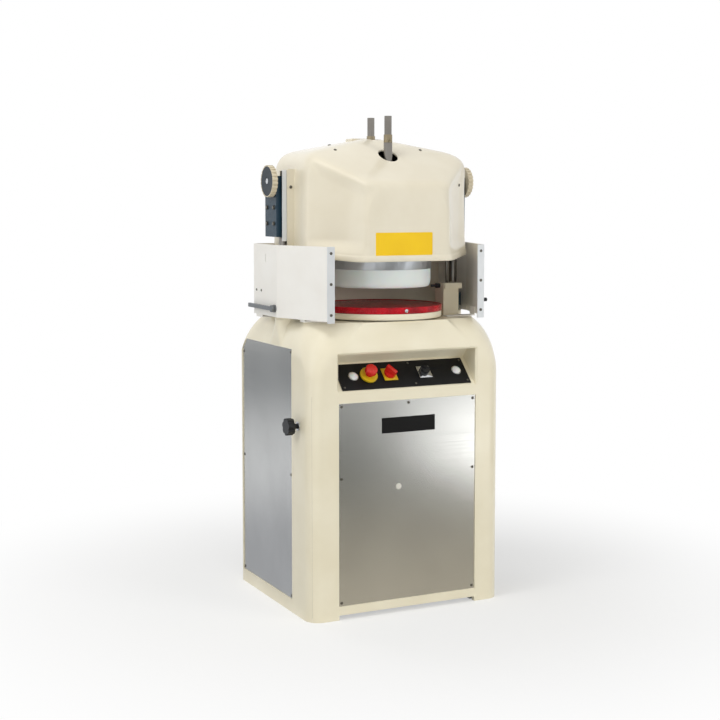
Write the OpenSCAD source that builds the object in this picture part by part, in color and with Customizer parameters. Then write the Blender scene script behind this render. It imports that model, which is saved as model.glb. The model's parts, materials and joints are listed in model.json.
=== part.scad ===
// Divider rounder for bakery dough: a floor cabinet with an orbiting moulding table,
// and a pressing head on two columns that parts a dough disc into thirty pieces.
// Millimetres, +Z up, X to the machine's right, the front faces -Y.
// The origin lies on the floor, midway between the four fixing holes.

/* [Cabinet] */
// Width of the cabinet
cabinet_w = 668; // [660:1:690]
// Depth of the cabinet
cabinet_d = 570; // [564:1:590]
// Height of the cabinet top above the floor
cabinet_h = 905; // [895:1:930]
// Wall of the cabinet casting
cabinet_wall = 8; // [7:0.5:9]
// Radius of the upright front corners
front_corner_r = 46; // [30:1:56]
// Radius of the upright rear corners
rear_corner_r = 12; // [11:1:16]
// Radius of the rounded side shoulders
shoulder_r = 100; // [94:1:112]
// Radius of the rounded front top edge
front_round_r = 90; // [70:1:110]
// Depth of the sloped rear top edge
rear_slope_y = 95; // [84:1:106]
// Height of the sloped rear top edge
rear_slope_z = 125; // [118:1:130]
// Height of the gap under the front skirt
skirt_gap = 15; // [8:1:22]
// Width of the gap between the front feet
skirt_gap_w = 476; // [420:1:500]

/* [Bib] */
// Width of the sloping bib along the table edge
bib_top_w = 292; // [240:1:330]
// Width of the bib along the control recess
bib_low_w = 470; // [400:1:474]
// Distance of the bib's top edge behind the cabinet front
bib_setback = 23; // [10:1:40]
// Step of the bib below the cabinet's top
bib_drop = 2; // [1:0.5:4]

/* [Panels] */
// Thickness of the stainless panels
panel_t = 2; // [1:0.5:2.5]
// Distance of a panel's face behind the cabinet surface
panel_sink = 3; // [2:0.5:3]
// Width of the ledge that a panel rests on
panel_ledge = 14; // [10:1:18]
// Width of the front panel
front_panel_w = 478; // [440:1:500]
// Lower edge of the front panel
front_panel_low = 42; // [36:1:60]
// Distance of the front panel's upper edge below the cabinet top
front_panel_drop = 240; // [230:1:265]
// Distance of the side panels' front edge behind the cabinet front
side_panel_front_in = 141; // [135:1:165]
// Distance of the side panels' rear edge before the cabinet rear
side_panel_rear_in = 15; // [14:1:35]
// Lower edge of the side and rear panels
side_panel_low = 40; // [36:1:60]
// Distance of the side panels' upper edge below the cabinet top
side_panel_drop = 83; // [83:1:125]
// Cut-off rear top corner of the side panels
side_panel_cut = 34; // [10:1:50]
// Width of the rear panel
rear_panel_w = 580; // [520:1:600]
// Distance of the rear panel's upper edge below the cabinet top
rear_panel_drop = 135; // [132:1:165]
// Radius of a panel screw's head
screw_r = 4.5; // [3:0.5:6]
// Height of a screw's head
screw_h = 2; // [1:0.5:3]

/* [Nameplate] */
// Width of the blank nameplate
nameplate_w = 185; // [120:1:220]
// Height of the blank nameplate
nameplate_h = 48; // [30:1:60]
// Thickness of the blank nameplate
nameplate_t = 1.5; // [1:0.5:2.5]
// Distance of the nameplate's middle below the front panel's upper edge
nameplate_drop = 77; // [65:1:105]

/* [Controls] */
// Width of the control plate
control_w = 449; // [440:1:452]
// Length of the control plate up its slope
control_len = 100; // [92:1:106]
// Thickness of the control plate
control_t = 3; // [2:0.5:4]
// Slope of the control plate from level
control_tilt = 45; // [40:1:48]
// Distance of the control plate's middle behind the cabinet front
control_in = 39; // [38:1:42]
// Distance of the control plate's middle below the cabinet top
control_drop = 165; // [161:1:167]
// Distance of the control recess's upper edge below the cabinet top
recess_drop = 93; // [89:1:97]
// Margin of the recess above and below the control plate
recess_margin = 8; // [5:1:9]
// Margin of the recess beside the control plate
recess_side = 14.5; // [10:0.5:18]
// Wall of the recess
recess_wall = 5; // [4:0.5:6]
// Left start button's place along the plate
left_start_x = -173; // [-180:1:-165]
// Emergency stop's place along the plate
stop_x = -121; // [-124:1:-118]
// Main switch's place along the plate
switch_x = -49; // [-56:1:-45]
// Timer's place along the plate
timer_x = 73; // [60:1:90]
// Right start button's place along the plate
right_start_x = 188; // [175:1:190]
// Radius of a start button
start_r = 13.5; // [11:0.5:15]
// Travel of a start button
start_travel = 4; // [3:0.5:5]
// Radius of the emergency stop's head
stop_r = 19; // [16:0.5:21]
// Radius of the emergency stop's collar
stop_collar_r = 28; // [24:0.5:29]
// Travel of the emergency stop
stop_travel = 5; // [3:0.5:6]
// Side of the main switch's plate
switch_plate_w = 46; // [40:1:50]
// Side of the timer's plate
timer_plate_w = 45; // [40:1:50]
// Radius of the timer's knob
timer_knob_r = 14; // [10:0.5:17]
// Radius of the side knob
side_knob_r = 26; // [20:0.5:30]
// Distance of the side knob behind the cabinet front
side_knob_in = 91; // [85:1:100]
// Distance of the side knob below the cabinet top
side_knob_drop = 313; // [285:1:345]
// Reach of the side knob from the cabinet side
side_knob_reach = 41; // [36:1:48]

/* [Moulding table] */
// Distance of the table's middle behind the cabinet front
tool_in = 205; // [203:1:207]
// Radius of the orbit of the table
orbit_r = 14; // [10:1:16]
// Radius of the moulding plate and its carrier
plate_r = 200; // [192:1:202]
// Thickness of the moulding plate
plate_t = 20; // [15:1:24]
// Thickness of the table carrier
carrier_t = 18; // [16:1:22]
// Thickness of the slide ring under the carrier
slide_ring_t = 4.7; // [4.5:0.1:6]
// Radius of the eccentric pin
crank_pin_r = 18; // [16:0.5:20]
// Radius of the spindle
spindle_r = 25; // [22:0.5:26]
// Radius of the driven pulley
driven_pulley_r = 100; // [90:1:105]
// Radius of the motor pulley
motor_pulley_r = 40; // [34:1:44]
// Distance of the motor's axis before the cabinet rear
motor_in = 115; // [105:1:120]
// Radius of the drive motor
motor_r = 65; // [58:1:72]

/* [Head] */
// Travel of the pressing head
press_travel = 56; // [40:1:58]
// Travel of the plungers and of the knife
tool_travel = 25; // [18:1:26]
// Distance of a column inside the cabinet's side
column_in = 29; // [28:1:34]
// Distance of the columns behind the table's middle
column_back = 60; // [56:1:64]
// Radius of a column
column_r = 13; // [11:0.5:14]
// Radius of a column bush
bush_r = 23; // [20:0.5:23]
// Height of a column bush above the cabinet top
bush_rise = 67; // [50:1:75]
// Distance of the hood's side inside the column
hood_in = 20; // [18:1:25]
// Distance of the hood's front face behind the cabinet front
hood_front_in = 1; // [0:1:7]
// Distance of the hood's rear face behind the table's middle
hood_back = 205; // [195:1:220]
// Half width of the hood's front face
hood_face_x = 145; // [130:1:160]
// Wall of the hood
hood_wall = 5; // [4:0.5:6]
// Height of the hood's lip above the cabinet top
hood_lip = 185; // [180:1:190]
// Height of the hood's front face
hood_face_h = 235; // [220:1:245]
// Height of the hood's crown above its lip
hood_crown_h = 391; // [380:1:400]
// Radius of the hood's shoulders
hood_shoulder_r = 70; // [50:1:85]
// Radius of the holes for the press rods in the hood
rod_hole_r = 31; // [24:1:34]
// Outer radius of the pressing ring
ring_r = 164; // [163:0.5:168]
// Wall of the pressing ring
ring_wall = 10; // [8:0.5:10]
// Height of the pressing ring
ring_h = 57; // [50:1:62]
// Distance of each press rod from the tool's middle
rod_pitch = 60; // [52:1:64]
// Radius of a press rod below its collar
rod_low_r = 13.5; // [12:0.5:14.5]
// Radius of a press rod above its collar
rod_top_r = 11.5; // [9:0.5:12]
// Height of the machine to the top of the press rods
machine_h = 1540; // [1530:1:1560]
// Radius of a thickness wheel
wheel_r = 50; // [44:1:54]
// Thickness of a thickness wheel
wheel_t = 17; // [12:1:18]
// Distance of the wheels' outer faces outside the columns
wheel_out = 53; // [52:1:57]
// Height of the wheels above the cabinet top
wheel_rise = 431; // [428:1:436]
// Distance of the wheels behind the columns
wheel_back = 8; // [4:1:12]

/* [Divider] */
// Pieces in the inner circle
inner_cells = 4; // [3:1:5]
// Pieces in the middle circle
middle_cells = 10; // [8:1:11]
// Pieces in the outer circle
outer_cells = 16; // [14:1:17]
// Radius of the inner knife circle
knife_inner_r = 55; // [50:1:58]
// Radius of the middle knife circle
knife_middle_r = 102; // [98:1:106]
// Thickness of the knife blades
blade_t = 2; // [1.5:0.25:2.5]

/* [Guards] */
// Distance of the guards' outer faces outside the cabinet side
guard_out = 8; // [7:1:12]
// Distance of the guards' rear end behind the table's middle
guard_back = 220; // [219:1:230]
// Distance of the guards' bend behind the table's middle
guard_bend_back = 30; // [20:1:40]
// Distance of the guards' front end inside the cabinet side
guard_front_side = 62; // [58:1:68]
// Distance of the guards' front end behind the cabinet front
guard_front_in = 12; // [11:1:19]
// Height of the guards
guard_h = 225.5; // [200:0.5:235]
// Thickness of the guard sheet
guard_t = 2; // [1.5:0.5:3]
// Width of the edge strips
strip_w = 24; // [18:1:28]
// Thickness of the edge strips
strip_t = 3; // [2:0.5:4]

/* [Clearances] */
// Gap between flat faces that pass each other
run_gap = 0.3; // [0.2:0.05:0.4]
// Radial clearance of shafts and pins
fit_gap = 0.05; // [0.02:0.01:0.1]
// Radial clearance of stems in sheet holes
stem_gap = 0.3; // [0.2:0.05:0.5]

/* [Hidden] */
$fn = 96;
sides = [-1, 1];

// Half sizes of the cabinet and its panels
cabinet_x = cabinet_w / 2;
cabinet_y = cabinet_d / 2;
// Overlap that keeps two rounded edges from only touching
round_over = 0.2;
panel_back = panel_sink + panel_t;
front_panel_high = cabinet_h - front_panel_drop;
side_panel_front = -cabinet_y + side_panel_front_in;
side_panel_rear = cabinet_y - side_panel_rear_in;
side_panel_high = cabinet_h - side_panel_drop;
rear_panel_high = cabinet_h - rear_panel_drop;
nameplate_z = front_panel_high - nameplate_drop;

// Places in plan that follow the cabinet, then the table and the columns
tool_y = -cabinet_y + tool_in;
column_x = cabinet_x - column_in;
column_y = tool_y + column_back;
motor_y = cabinet_y - motor_in;
hood_x = column_x - hood_in;
hood_front = -cabinet_y + hood_front_in;
hood_rear = tool_y + hood_back;
wheel_x = column_x + wheel_out;
wheel_y = column_y + wheel_back;
guard_x = cabinet_x + guard_out;
guard_rear = tool_y + guard_back;
guard_bend_y = tool_y + guard_bend_back;
guard_front_x = cabinet_x - guard_front_side;
guard_front_y = -cabinet_y + guard_front_in;

// Heights of the table, from the cabinet top upward
carrier_z = cabinet_h + slide_ring_t + run_gap;
plate_z = carrier_z + carrier_t + run_gap;
plate_top = plate_z + plate_t;

// Heights of the head at rest
closed_gap = 0.7;
ring_z = plate_top + closed_gap + press_travel;
holder_z = ring_z + ring_h;
holder_skirt_h = 28;
holder_flange_z = holder_z + holder_skirt_h;
holder_flange_t = 12;
tool_z = ring_z + tool_travel + 1;
plunger_h = 44;
stem_h = 35;
plunger_plate_z = tool_z + plunger_h + stem_h;
plunger_plate_t = 14;
blade_h = plunger_h + stem_h - tool_travel - 2;
yoke_rise = 295;
yoke_z = cabinet_h + yoke_rise;
yoke_t = 16;
beam_h = 60;
lip_z = cabinet_h + hood_lip;
wheel_z = cabinet_h + wheel_rise;

// Rods, their collars and the slots and blocks at the columns
collar_r = rod_low_r + fit_gap / 2;
collar_low = machine_h - 83;
collar_high = collar_low + 25;
rod_foot = plunger_plate_z + 4;
block_low = cabinet_h + 258;
block_high = cabinet_h + 395;
block_in = hood_x + 1;
block_out = wheel_x - wheel_t - 3;
block_front = column_y - 20;
block_rear = column_y + 70;
column_top = block_high - 10;
slot_front = column_y - 32;
slot_rear = column_y + 80;
slot_low = lip_z + 7;
slot_high = cabinet_h + 465;
wheel_shaft_r = 8;

// Radii of the tools, from the ring inward
ring_bore_r = ring_r - ring_wall;
knife_tube_r = ring_bore_r - 0.5;
knife_tube_wall = 2.5;
cell_r = knife_tube_r - knife_tube_wall;
cell_gap = 0.6;
cell_half = blade_t / 2 + cell_gap;
stem_r = 5;

// Crank, idler, bearings and pulleys
spindle_x = -orbit_r;
idler_y = tool_y + 120;
idler_pin_r = 10;
idler_shaft_r = 15;
pulley_z = cabinet_h - 155;
pulley_h = 35;
housing_h = 97;
housing_top = cabinet_h - cabinet_wall;
housing_z = housing_top - housing_h;
bearing_h = 24;
bearing_r = spindle_r + 18;
lower_bearing_z = housing_z + 4;
upper_bearing_z = housing_top - bearing_h - 4;
pin_top = carrier_z + carrier_t - 1;
crank_z = housing_top + run_gap;
crank_top = carrier_z - run_gap;
crank_r = orbit_r + crank_pin_r + 6;
idler_crank_r = orbit_r + idler_pin_r + 1;

// Motor and press drive inside the cabinet
floor_plate_z = 16;
floor_plate_t = 8;
floor_top = floor_plate_z + floor_plate_t;
pulley_lift = 50;
motor_top = pulley_z - pulley_lift;
motor_h = 220;
motor_flange_w = 12;
motor_flange_r = motor_r + motor_flange_w;
motor_shaft_r = 14;
shelf_t = 8;
crosshead_drop = 265;
crosshead_z = cabinet_h - crosshead_drop;
crosshead_h = 40;
cylinder_clear = 110;
cylinder_top = crosshead_z - press_travel - cylinder_clear;
cylinder_r = 45;
cylinder_wall = 7;
piston_rod_r = 20;
piston_drop = 174;
piston_z = cylinder_top - piston_drop;
tank_x = -180;
tank_h = 270;
tank_front_in = 225;
tank_rear_in = 35;
tank_front = cabinet_y - tank_front_in;
tank_rear = cabinet_y - tank_rear_in;
fix_in_x = 64;
fix_in_y = 60;
fix_x = cabinet_x - fix_in_x;
fix_y = cabinet_y - fix_in_y;
fix_r = 7;
boss_wall = 5.5;
boss_lift = 3;
boss_r = bush_r + boss_wall;
boss_low = side_panel_high + boss_lift;

// Controls, their stems and their recess
control_y = -cabinet_y + control_in;
control_z = cabinet_h - control_drop;
recess_high = cabinet_h - recess_drop;
side_knob_y = -cabinet_y + side_knob_in;
side_knob_z = cabinet_h - side_knob_drop;
stem_in = 12;
stop_stem_r = 11;
switch_stem_r = 10;
timer_stem_r = 6;
timer_plate_h = 4;
bezel_h = 3;
switch_plate_h = 3;
stop_collar_h = 8;
side_knob_stem_r = 8;
gland_in = 90;
gland_x = gland_in - rear_panel_w / 2;
gland_z = 110;
gland_r = 9;
gland_bore_r = 5;

// Guards, latch, pedestal and sensor
guard_z = cabinet_h + 8;
guard_top = guard_z + guard_h;
strip_screw_in = 20;
guard_knob_stem_r = 3;
guard_knob_y = guard_front_y + 16;
guard_knob_z = cabinet_h + 58;
latch_y = guard_bend_y + 14;
latch_z = cabinet_h + 35;
latch_pin_r = 5;
latch_collar_t = 5;
lever_in = guard_x + latch_collar_t + run_gap;
lever_out = lever_in + 9.5;
lever_half = 6.5;
lever_end = guard_rear + 16;
pedestal_x = column_x - 68;
pedestal_y = tool_y - 20;
pedestal_w = 56;
pedestal_top = cabinet_h + 105;
guide_r = 5;
sensor_z = pedestal_top - 9;

// Outline helpers

// Points along an arc, in steps
function arc(middle, r, from, to, steps) = [
    for (k = [0 : steps])
        let (a = from + (to - from) * k / steps)
        middle + r * [cos(a), sin(a)]
];

// Plan of the cabinet
module cabinet_plan() {
    f = front_corner_r;
    r = rear_corner_r;
    polygon([
        [-cabinet_x + f, -cabinet_y], [cabinet_x - f, -cabinet_y], [cabinet_x, -cabinet_y + f],
        [cabinet_x, cabinet_y - r], [cabinet_x - r, cabinet_y], [-cabinet_x + r, cabinet_y],
        [-cabinet_x, cabinet_y - r], [-cabinet_x, -cabinet_y + f]
    ]);
    for (s = sides) {
        translate([s * (cabinet_x - f), -cabinet_y + f]) circle(f);
        translate([s * (cabinet_x - r), cabinet_y - r]) circle(r);
    }
}

// Front outline of the cabinet with its shoulders, a little over its size
module cabinet_front() {
    x = cabinet_x - shoulder_r;
    z = cabinet_h - shoulder_r;
    r = shoulder_r + round_over;
    polygon([
        [-x - r, 0], [x + r, 0], [x + r, z], [x, z + r], [-x, z + r], [-x - r, z]
    ]);
    for (s = sides)
        translate([s * x, z]) circle(r);
}

// Side outline of the cabinet with its rounded front and sloped rear edge
module cabinet_side() {
    y = -cabinet_y + front_round_r;
    z = cabinet_h - front_round_r;
    r = front_round_r + round_over;
    rear = cabinet_y - rear_slope_y * (1 + round_over / rear_slope_z);
    polygon([
        [y - r, 0], [cabinet_y + 1, 0], [cabinet_y + 1, cabinet_h - rear_slope_z],
        [cabinet_y, cabinet_h - rear_slope_z], [rear, z + r], [y, z + r], [y - r, z]
    ]);
    translate([y, z]) circle(r);
}

// Solid body of the cabinet
module cabinet_solid() {
    intersection() {
        linear_extrude(cabinet_h) cabinet_plan();
        rotate([90, 0, 0]) linear_extrude(cabinet_d + 2, center = true) cabinet_front();
        rotate([90, 0, 90]) linear_extrude(cabinet_w + 2, center = true) cabinet_side();
    }
}

// Plan of the space inside the cabinet
module cavity_plan() {
    x = cabinet_x - cabinet_wall;
    y = cabinet_y - cabinet_wall;
    f = front_corner_r * 0.6;
    r = rear_corner_r * 0.6;
    polygon([
        [-x + f, -y], [x - f, -y], [x, -y + f], [x, y - r],
        [x - r, y], [-x + r, y], [-x, y - r], [-x, -y + f]
    ]);
}

// Space inside the cabinet, open at the floor
module cavity() {
    steps = 4;
    x = cabinet_x - shoulder_r;
    z = cabinet_h - shoulder_r;
    r = shoulder_r - cabinet_wall;
    y = cabinet_y - cabinet_wall;
    top = cabinet_h - cabinet_wall;
    front = [-cabinet_y + front_round_r, cabinet_h - front_round_r];
    intersection() {
        translate([0, 0, -1]) linear_extrude(top + 1) cavity_plan();
        rotate([90, 0, 0]) linear_extrude(cabinet_d, center = true) polygon(concat(
            [[-x - r, -1], [x + r, -1]], arc([x, z], r, 0, 90, steps), arc([-x, z], r, 90, 180, steps)
        ));
        rotate([90, 0, 90]) linear_extrude(cabinet_w, center = true) polygon(concat(
            [[-y, -1], [y, -1], [y, top - rear_slope_z], [y - rear_slope_y, top]],
            arc(front, front_round_r - cabinet_wall, 90, 180, steps)
        ));
    }
}

// Sloping bib between the control recess and the table
module bib() {
    back = -cabinet_y + front_round_r;
    intersection() {
        rotate([90, 0, 90]) linear_extrude(cabinet_w, center = true)
            polygon([
                [-cabinet_y, recess_high], [-cabinet_y + bib_setback, cabinet_h - bib_drop],
                [back, cabinet_h - bib_drop], [back, recess_high]
            ]);
        rotate([90, 0, 0]) linear_extrude(cabinet_d, center = true)
            polygon([
                [-bib_low_w / 2, recess_high], [bib_low_w / 2, recess_high],
                [bib_top_w / 2, cabinet_h], [-bib_top_w / 2, cabinet_h]
            ]);
    }
}

// Frame on the control plate: x along it, y up its slope, z out of it
module on_control(x = 0, y = 0) {
    translate([0, control_y, control_z]) rotate([control_tilt, 0, 0]) translate([x, y, 0])
        children();
}

// Upright cylinder between two heights
module post(x, y, low, high, r) {
    translate([x, y, low]) cylinder(h = high - low, r = r);
}

// Upright tube between two heights
module tube(x, y, low, high, r, bore) {
    difference() {
        post(x, y, low, high, r);
        post(x, y, low - 1, high + 1, bore);
    }
}

// Box from its lowest to its highest corner
module block(low, high) {
    translate(low) cube(high - low);
}

// Holes of the controls in the plate and the recess floor
module control_holes() {
    depth = 2 * stem_in;
    for (x = [left_start_x, right_start_x])
        on_control(x) translate([0, 0, -depth]) cylinder(h = 2 * depth, r = start_r + stem_gap);
    on_control(stop_x) translate([0, 0, -depth]) cylinder(h = 2 * depth, r = stop_stem_r + stem_gap);
    on_control(switch_x) translate([0, 0, -depth]) cylinder(h = 2 * depth, r = switch_stem_r + stem_gap);
    on_control(timer_x) translate([0, 0, -depth]) cylinder(h = 2 * depth, r = timer_stem_r + stem_gap);
}

// Space of the control recess, grown by a wall
module recess_space(wall) {
    w = control_w + 2 * (recess_side + wall);
    d = control_len + 2 * (recess_margin + wall);
    intersection() {
        on_control() translate([-w / 2, -d / 2, -control_t - wall]) cube([w, d, cabinet_d]);
        block([-cabinet_w, -cabinet_d, 0], [cabinet_w, 0, recess_high + wall]);
    }
}

// Side panel outline, from the floor up, y to the rear
module side_panel_outline(inset) {
    f = side_panel_front + inset;
    r = side_panel_rear - inset;
    low = side_panel_low + inset;
    high = side_panel_high - inset;
    c = side_panel_cut;
    polygon([[f, low], [r, low], [r, high - c], [r - c, high], [f, high]]);
}

// Plate standing across X, from one distance to another
module across_x(from, to) {
    translate([from, 0, 0]) rotate([90, 0, 90]) linear_extrude(to - from) children();
}

// Outline round both pulleys, grown outward
module belt_outline(grow) {
    hull() {
        translate([spindle_x, tool_y]) circle(driven_pulley_r + grow);
        translate([0, motor_y]) circle(motor_pulley_r + grow);
    }
}

// Plan of the hood, drawn in by inset
module hood_plan(inset) {
    x = hood_x - inset;
    bend = tan(22.5) * inset;
    face = hood_face_x - bend;
    turn = hood_front + hood_x - hood_face_x + bend;
    polygon([
        [-face, hood_front + inset], [face, hood_front + inset], [x, turn],
        [x, hood_rear - inset], [-x, hood_rear - inset], [-x, turn]
    ]);
}

// Solid body of the hood, drawn in by inset
module hood_solid(inset) {
    x = hood_x - inset;
    crown = lip_z + hood_crown_h - inset;
    r = hood_shoulder_r - inset;
    crown_fall = 36;
    rear_fall = 61;
    side_z = crown - crown_fall - r;
    face_z = lip_z + hood_face_h - inset;
    low = lip_z - inset;
    crown_front = tool_y + 80;
    crown_rear = hood_rear - 65;
    intersection() {
        translate([0, 0, low]) linear_extrude(hood_crown_h + hood_lip) hood_plan(inset);
        rotate([90, 0, 0]) linear_extrude(2 * cabinet_d, center = true) {
            polygon([
                [-x, low], [x, low], [x, side_z], [x - r, side_z + r], [0, crown],
                [-x + r, side_z + r], [-x, side_z]
            ]);
            for (s = sides)
                translate([s * (x - r), side_z]) circle(r);
        }
        rotate([90, 0, 90]) linear_extrude(2 * cabinet_w, center = true)
            polygon([
                [hood_front + inset, low], [hood_rear - inset, low], [hood_rear - inset, crown - rear_fall],
                [crown_rear, crown], [crown_front, crown], [hood_front + inset, face_z]
            ]);
    }
}

// Guard sheet seen from above, on the right side
module guard_plan(thick) {
    run = guard_bend_y - guard_front_y;
    lean = (guard_x - guard_front_x) / run;
    skew = thick * sqrt(1 + lean * lean);
    polygon([
        [guard_x, guard_rear], [guard_x, guard_bend_y], [guard_front_x, guard_front_y],
        [guard_front_x - strip_w + 2, guard_front_y], [guard_front_x - strip_w + 2, guard_front_y + thick],
        [guard_front_x - skew + lean * thick, guard_front_y + thick],
        [guard_x - thick, guard_bend_y + thick * lean / 2], [guard_x - thick, guard_rear]
    ]);
}

// Cabinet

module cabinet_shell() {
    top_low = cabinet_h - 2 * cabinet_wall;
    color("#efe6c6") difference() {
        union() {
            cabinet_solid();
            bib();
            for (s = sides)
                post(s * column_x, column_y, boss_low, cabinet_h, boss_r);
        }
        difference() {
            cavity();
            for (s = sides)
                post(s * column_x, column_y, boss_low, cabinet_h, boss_r);
            recess_space(recess_wall);
        }
        recess_space(0);
        control_holes();
        // Front panel seat and window
        panel_seat_front(-cabinet_y - 1, -cabinet_y + panel_back, 0);
        panel_seat_front(-cabinet_y - 1, -cabinet_y + cabinet_wall + 1, panel_ledge);
        // Rear panel seat and window
        panel_seat_rear(cabinet_y - panel_back, cabinet_y + 1, 0);
        panel_seat_rear(cabinet_y - cabinet_wall - 1, cabinet_y + 1, panel_ledge);
        // Side panel seats and windows
        for (s = sides) mirror([s < 0 ? 1 : 0, 0, 0]) {
            across_x(cabinet_x - panel_back, cabinet_x + 1) side_panel_outline(0);
            across_x(cabinet_x - cabinet_wall - 1, cabinet_x + 1) side_panel_outline(panel_ledge);
            post(column_x, column_y, boss_low - 20, cabinet_h + 1, bush_r + fit_gap);
        }
        // Openings for the spindle and the idler in the top
        post(spindle_x, tool_y, top_low, cabinet_h + 1, crank_r + 6);
        post(spindle_x, idler_y, top_low, cabinet_h + 1, idler_crank_r + 3);
        // Gap under the front skirt
        block([-skirt_gap_w / 2, -cabinet_y - 1, -1],
            [skirt_gap_w / 2, -cabinet_y + cabinet_wall + 1, skirt_gap]);
        // Hole for the side knob's stem
        translate([-cabinet_x - 1, side_knob_y, side_knob_z]) rotate([0, 90, 0])
            cylinder(h = cabinet_wall + 2, r = side_knob_stem_r + stem_gap);
    }
}

module panel_seat_front(from, to, inset) {
    w = front_panel_w / 2 - inset;
    block([-w, from, front_panel_low + inset], [w, to, front_panel_high - inset]);
}

module panel_seat_rear(from, to, inset) {
    w = rear_panel_w / 2 - inset;
    block([-w, from, side_panel_low + inset], [w, to, rear_panel_high - inset]);
}

module base_frame() {
    pad = 34;
    color("#6d7072") difference() {
        union() {
            translate([0, 0, floor_plate_z]) linear_extrude(floor_plate_t) cavity_plan();
            for (x = sides, y = sides)
                translate([x * fix_x - pad, y * fix_y - pad, 0]) cube([2 * pad, 2 * pad, floor_plate_z]);
        }
        for (x = sides, y = sides)
            post(x * fix_x, y * fix_y, -1, floor_top + 1, fix_r);
    }
}

module front_panel() {
    color("#b9bcbd") panel_seat_front(-cabinet_y + panel_sink, -cabinet_y + panel_back, 0);
}

module side_panel() {
    across_x(cabinet_x - panel_back, cabinet_x - panel_sink) side_panel_outline(0);
}

module left_panel() {
    color("#b9bcbd") mirror([1, 0, 0]) side_panel();
}

module right_panel() {
    color("#b9bcbd") side_panel();
}

module rear_panel() {
    color("#b9bcbd") difference() {
        panel_seat_rear(cabinet_y - panel_back, cabinet_y - panel_sink, 0);
        translate([gland_x, cabinet_y + 1, gland_z]) rotate([90, 0, 0])
            cylinder(h = cabinet_wall + 2, r = gland_r + fit_gap);
    }
}

// Screw head lying on a face, its axis along -Y before turning
module screw_head() {
    rotate([90, 0, 0]) cylinder(h = screw_h, r = screw_r);
}

module panel_screws() {
    edge = 10;
    front_share = 0.63;
    control_mid = 30;
    front_mid = front_panel_low + (front_panel_high - front_panel_low) * front_share;
    side_mid = (side_panel_low + side_panel_high) / 2;
    side_face = cabinet_x - panel_sink;
    front_x = front_panel_w / 2 - edge;
    rear_x = rear_panel_w / 2 - edge;
    control_x = control_w / 2 - edge;
    control_e = control_len / 2 - edge;
    color("#55585a") {
        for (z = [front_panel_low + edge, front_mid, front_panel_high - edge], s = sides)
            translate([s * front_x, -cabinet_y + panel_sink, z]) screw_head();
        translate([0, -cabinet_y + panel_sink, front_panel_high - edge]) screw_head();
        for (z = [side_panel_low + edge, side_mid, rear_panel_high - edge], s = sides)
            translate([s * rear_x, cabinet_y - panel_sink, z]) rotate([0, 0, 180]) screw_head();
        for (s = sides) mirror([s < 0 ? 1 : 0, 0, 0]) {
            for (z = [side_panel_low + edge, side_mid, side_panel_high - edge])
                translate([side_face, side_panel_front + edge, z]) rotate([0, 0, 90]) screw_head();
            for (z = [side_panel_low + edge, side_mid, side_panel_high - edge - side_panel_cut])
                translate([side_face, side_panel_rear - edge, z]) rotate([0, 0, 90]) screw_head();
            for (z = [guard_z + strip_screw_in, (guard_z + guard_top) / 2, guard_top - strip_screw_in])
                translate([guard_front_x - strip_w / 2, guard_front_y - strip_t, z]) screw_head();
        }
        for (x = [-control_x, control_mid, control_x], y = sides)
            on_control(x, y * control_e) cylinder(h = screw_h, r = screw_r - 1);
    }
}

module nameplate() {
    face = -cabinet_y + panel_sink;
    low = nameplate_z - nameplate_h / 2;
    color("#1a1a1c") block([-nameplate_w / 2, face - nameplate_t, low],
        [nameplate_w / 2, face, low + nameplate_h]);
}

module cable_gland() {
    thread_h = 24;
    nut_h = 6;
    nut_r = gland_r + 6;
    color("#2a2b2d") translate([gland_x, cabinet_y - panel_sink, gland_z]) rotate([90, 0, 0]) difference() {
        union() {
            cylinder(h = thread_h, r = gland_r);
            translate([0, 0, -panel_sink]) cylinder(h = panel_sink, r = nut_r);
            translate([0, 0, panel_t]) cylinder(h = nut_h, r = nut_r, $fn = 6);
        }
        translate([0, 0, -panel_sink - 1]) cylinder(h = panel_sink + thread_h + 2, r = gland_bore_r);
    }
}

// Controls

module control_plate() {
    color("#141416") difference() {
        on_control() translate([-control_w / 2, -control_len / 2, -control_t])
            cube([control_w, control_len, control_t]);
        control_holes();
    }
}

module control_bezels() {
    bezel_r = start_r + 3;
    color("#c9cccd") {
        for (x = [left_start_x, right_start_x])
            on_control(x) tube(0, 0, 0, bezel_h, bezel_r, start_r + stem_gap);
        on_control(timer_x) difference() {
            translate([-timer_plate_w / 2, -timer_plate_w / 2, 0])
                cube([timer_plate_w, timer_plate_w, timer_plate_h]);
            translate([0, 0, -1]) cylinder(h = timer_plate_h + 2, r = timer_stem_r + stem_gap);
        }
    }
}

module yellow_backplates() {
    color("#e3c51d") {
        on_control(stop_x) tube(0, 0, 0, stop_collar_h, stop_collar_r, stop_stem_r + stem_gap);
        on_control(switch_x) difference() {
            translate([-switch_plate_w / 2, -switch_plate_w / 2, 0])
                cube([switch_plate_w, switch_plate_w, switch_plate_h]);
            translate([0, 0, -1]) cylinder(h = switch_plate_h + 2, r = switch_stem_r + stem_gap);
        }
    }
}

module switch_bodies() {
    body_h = 34;
    body_w = 38;
    floor_t = 5;
    top = -control_t - recess_wall;
    color("#3a3c40") for (x = [left_start_x, stop_x, switch_x, timer_x, right_start_x])
        on_control(x) difference() {
            translate([-body_w / 2, -body_w / 2, top - body_h]) cube([body_w, body_w, body_h]);
            translate([0, 0, top - body_h + floor_t]) cylinder(h = body_h, r = start_r + stem_gap);
        }
}

// Button with a domed top
module start_button() {
    dome_h = 5;
    dome_r = (start_r * start_r + dome_h * dome_h) / (2 * dome_h);
    rise = bezel_h + start_travel - 2;
    translate([0, 0, -stem_in]) cylinder(h = stem_in + rise, r = start_r);
    translate([0, 0, rise]) intersection() {
        cylinder(h = dome_h, r = start_r);
        translate([0, 0, dome_h - dome_r]) sphere(dome_r);
    }
}

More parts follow.
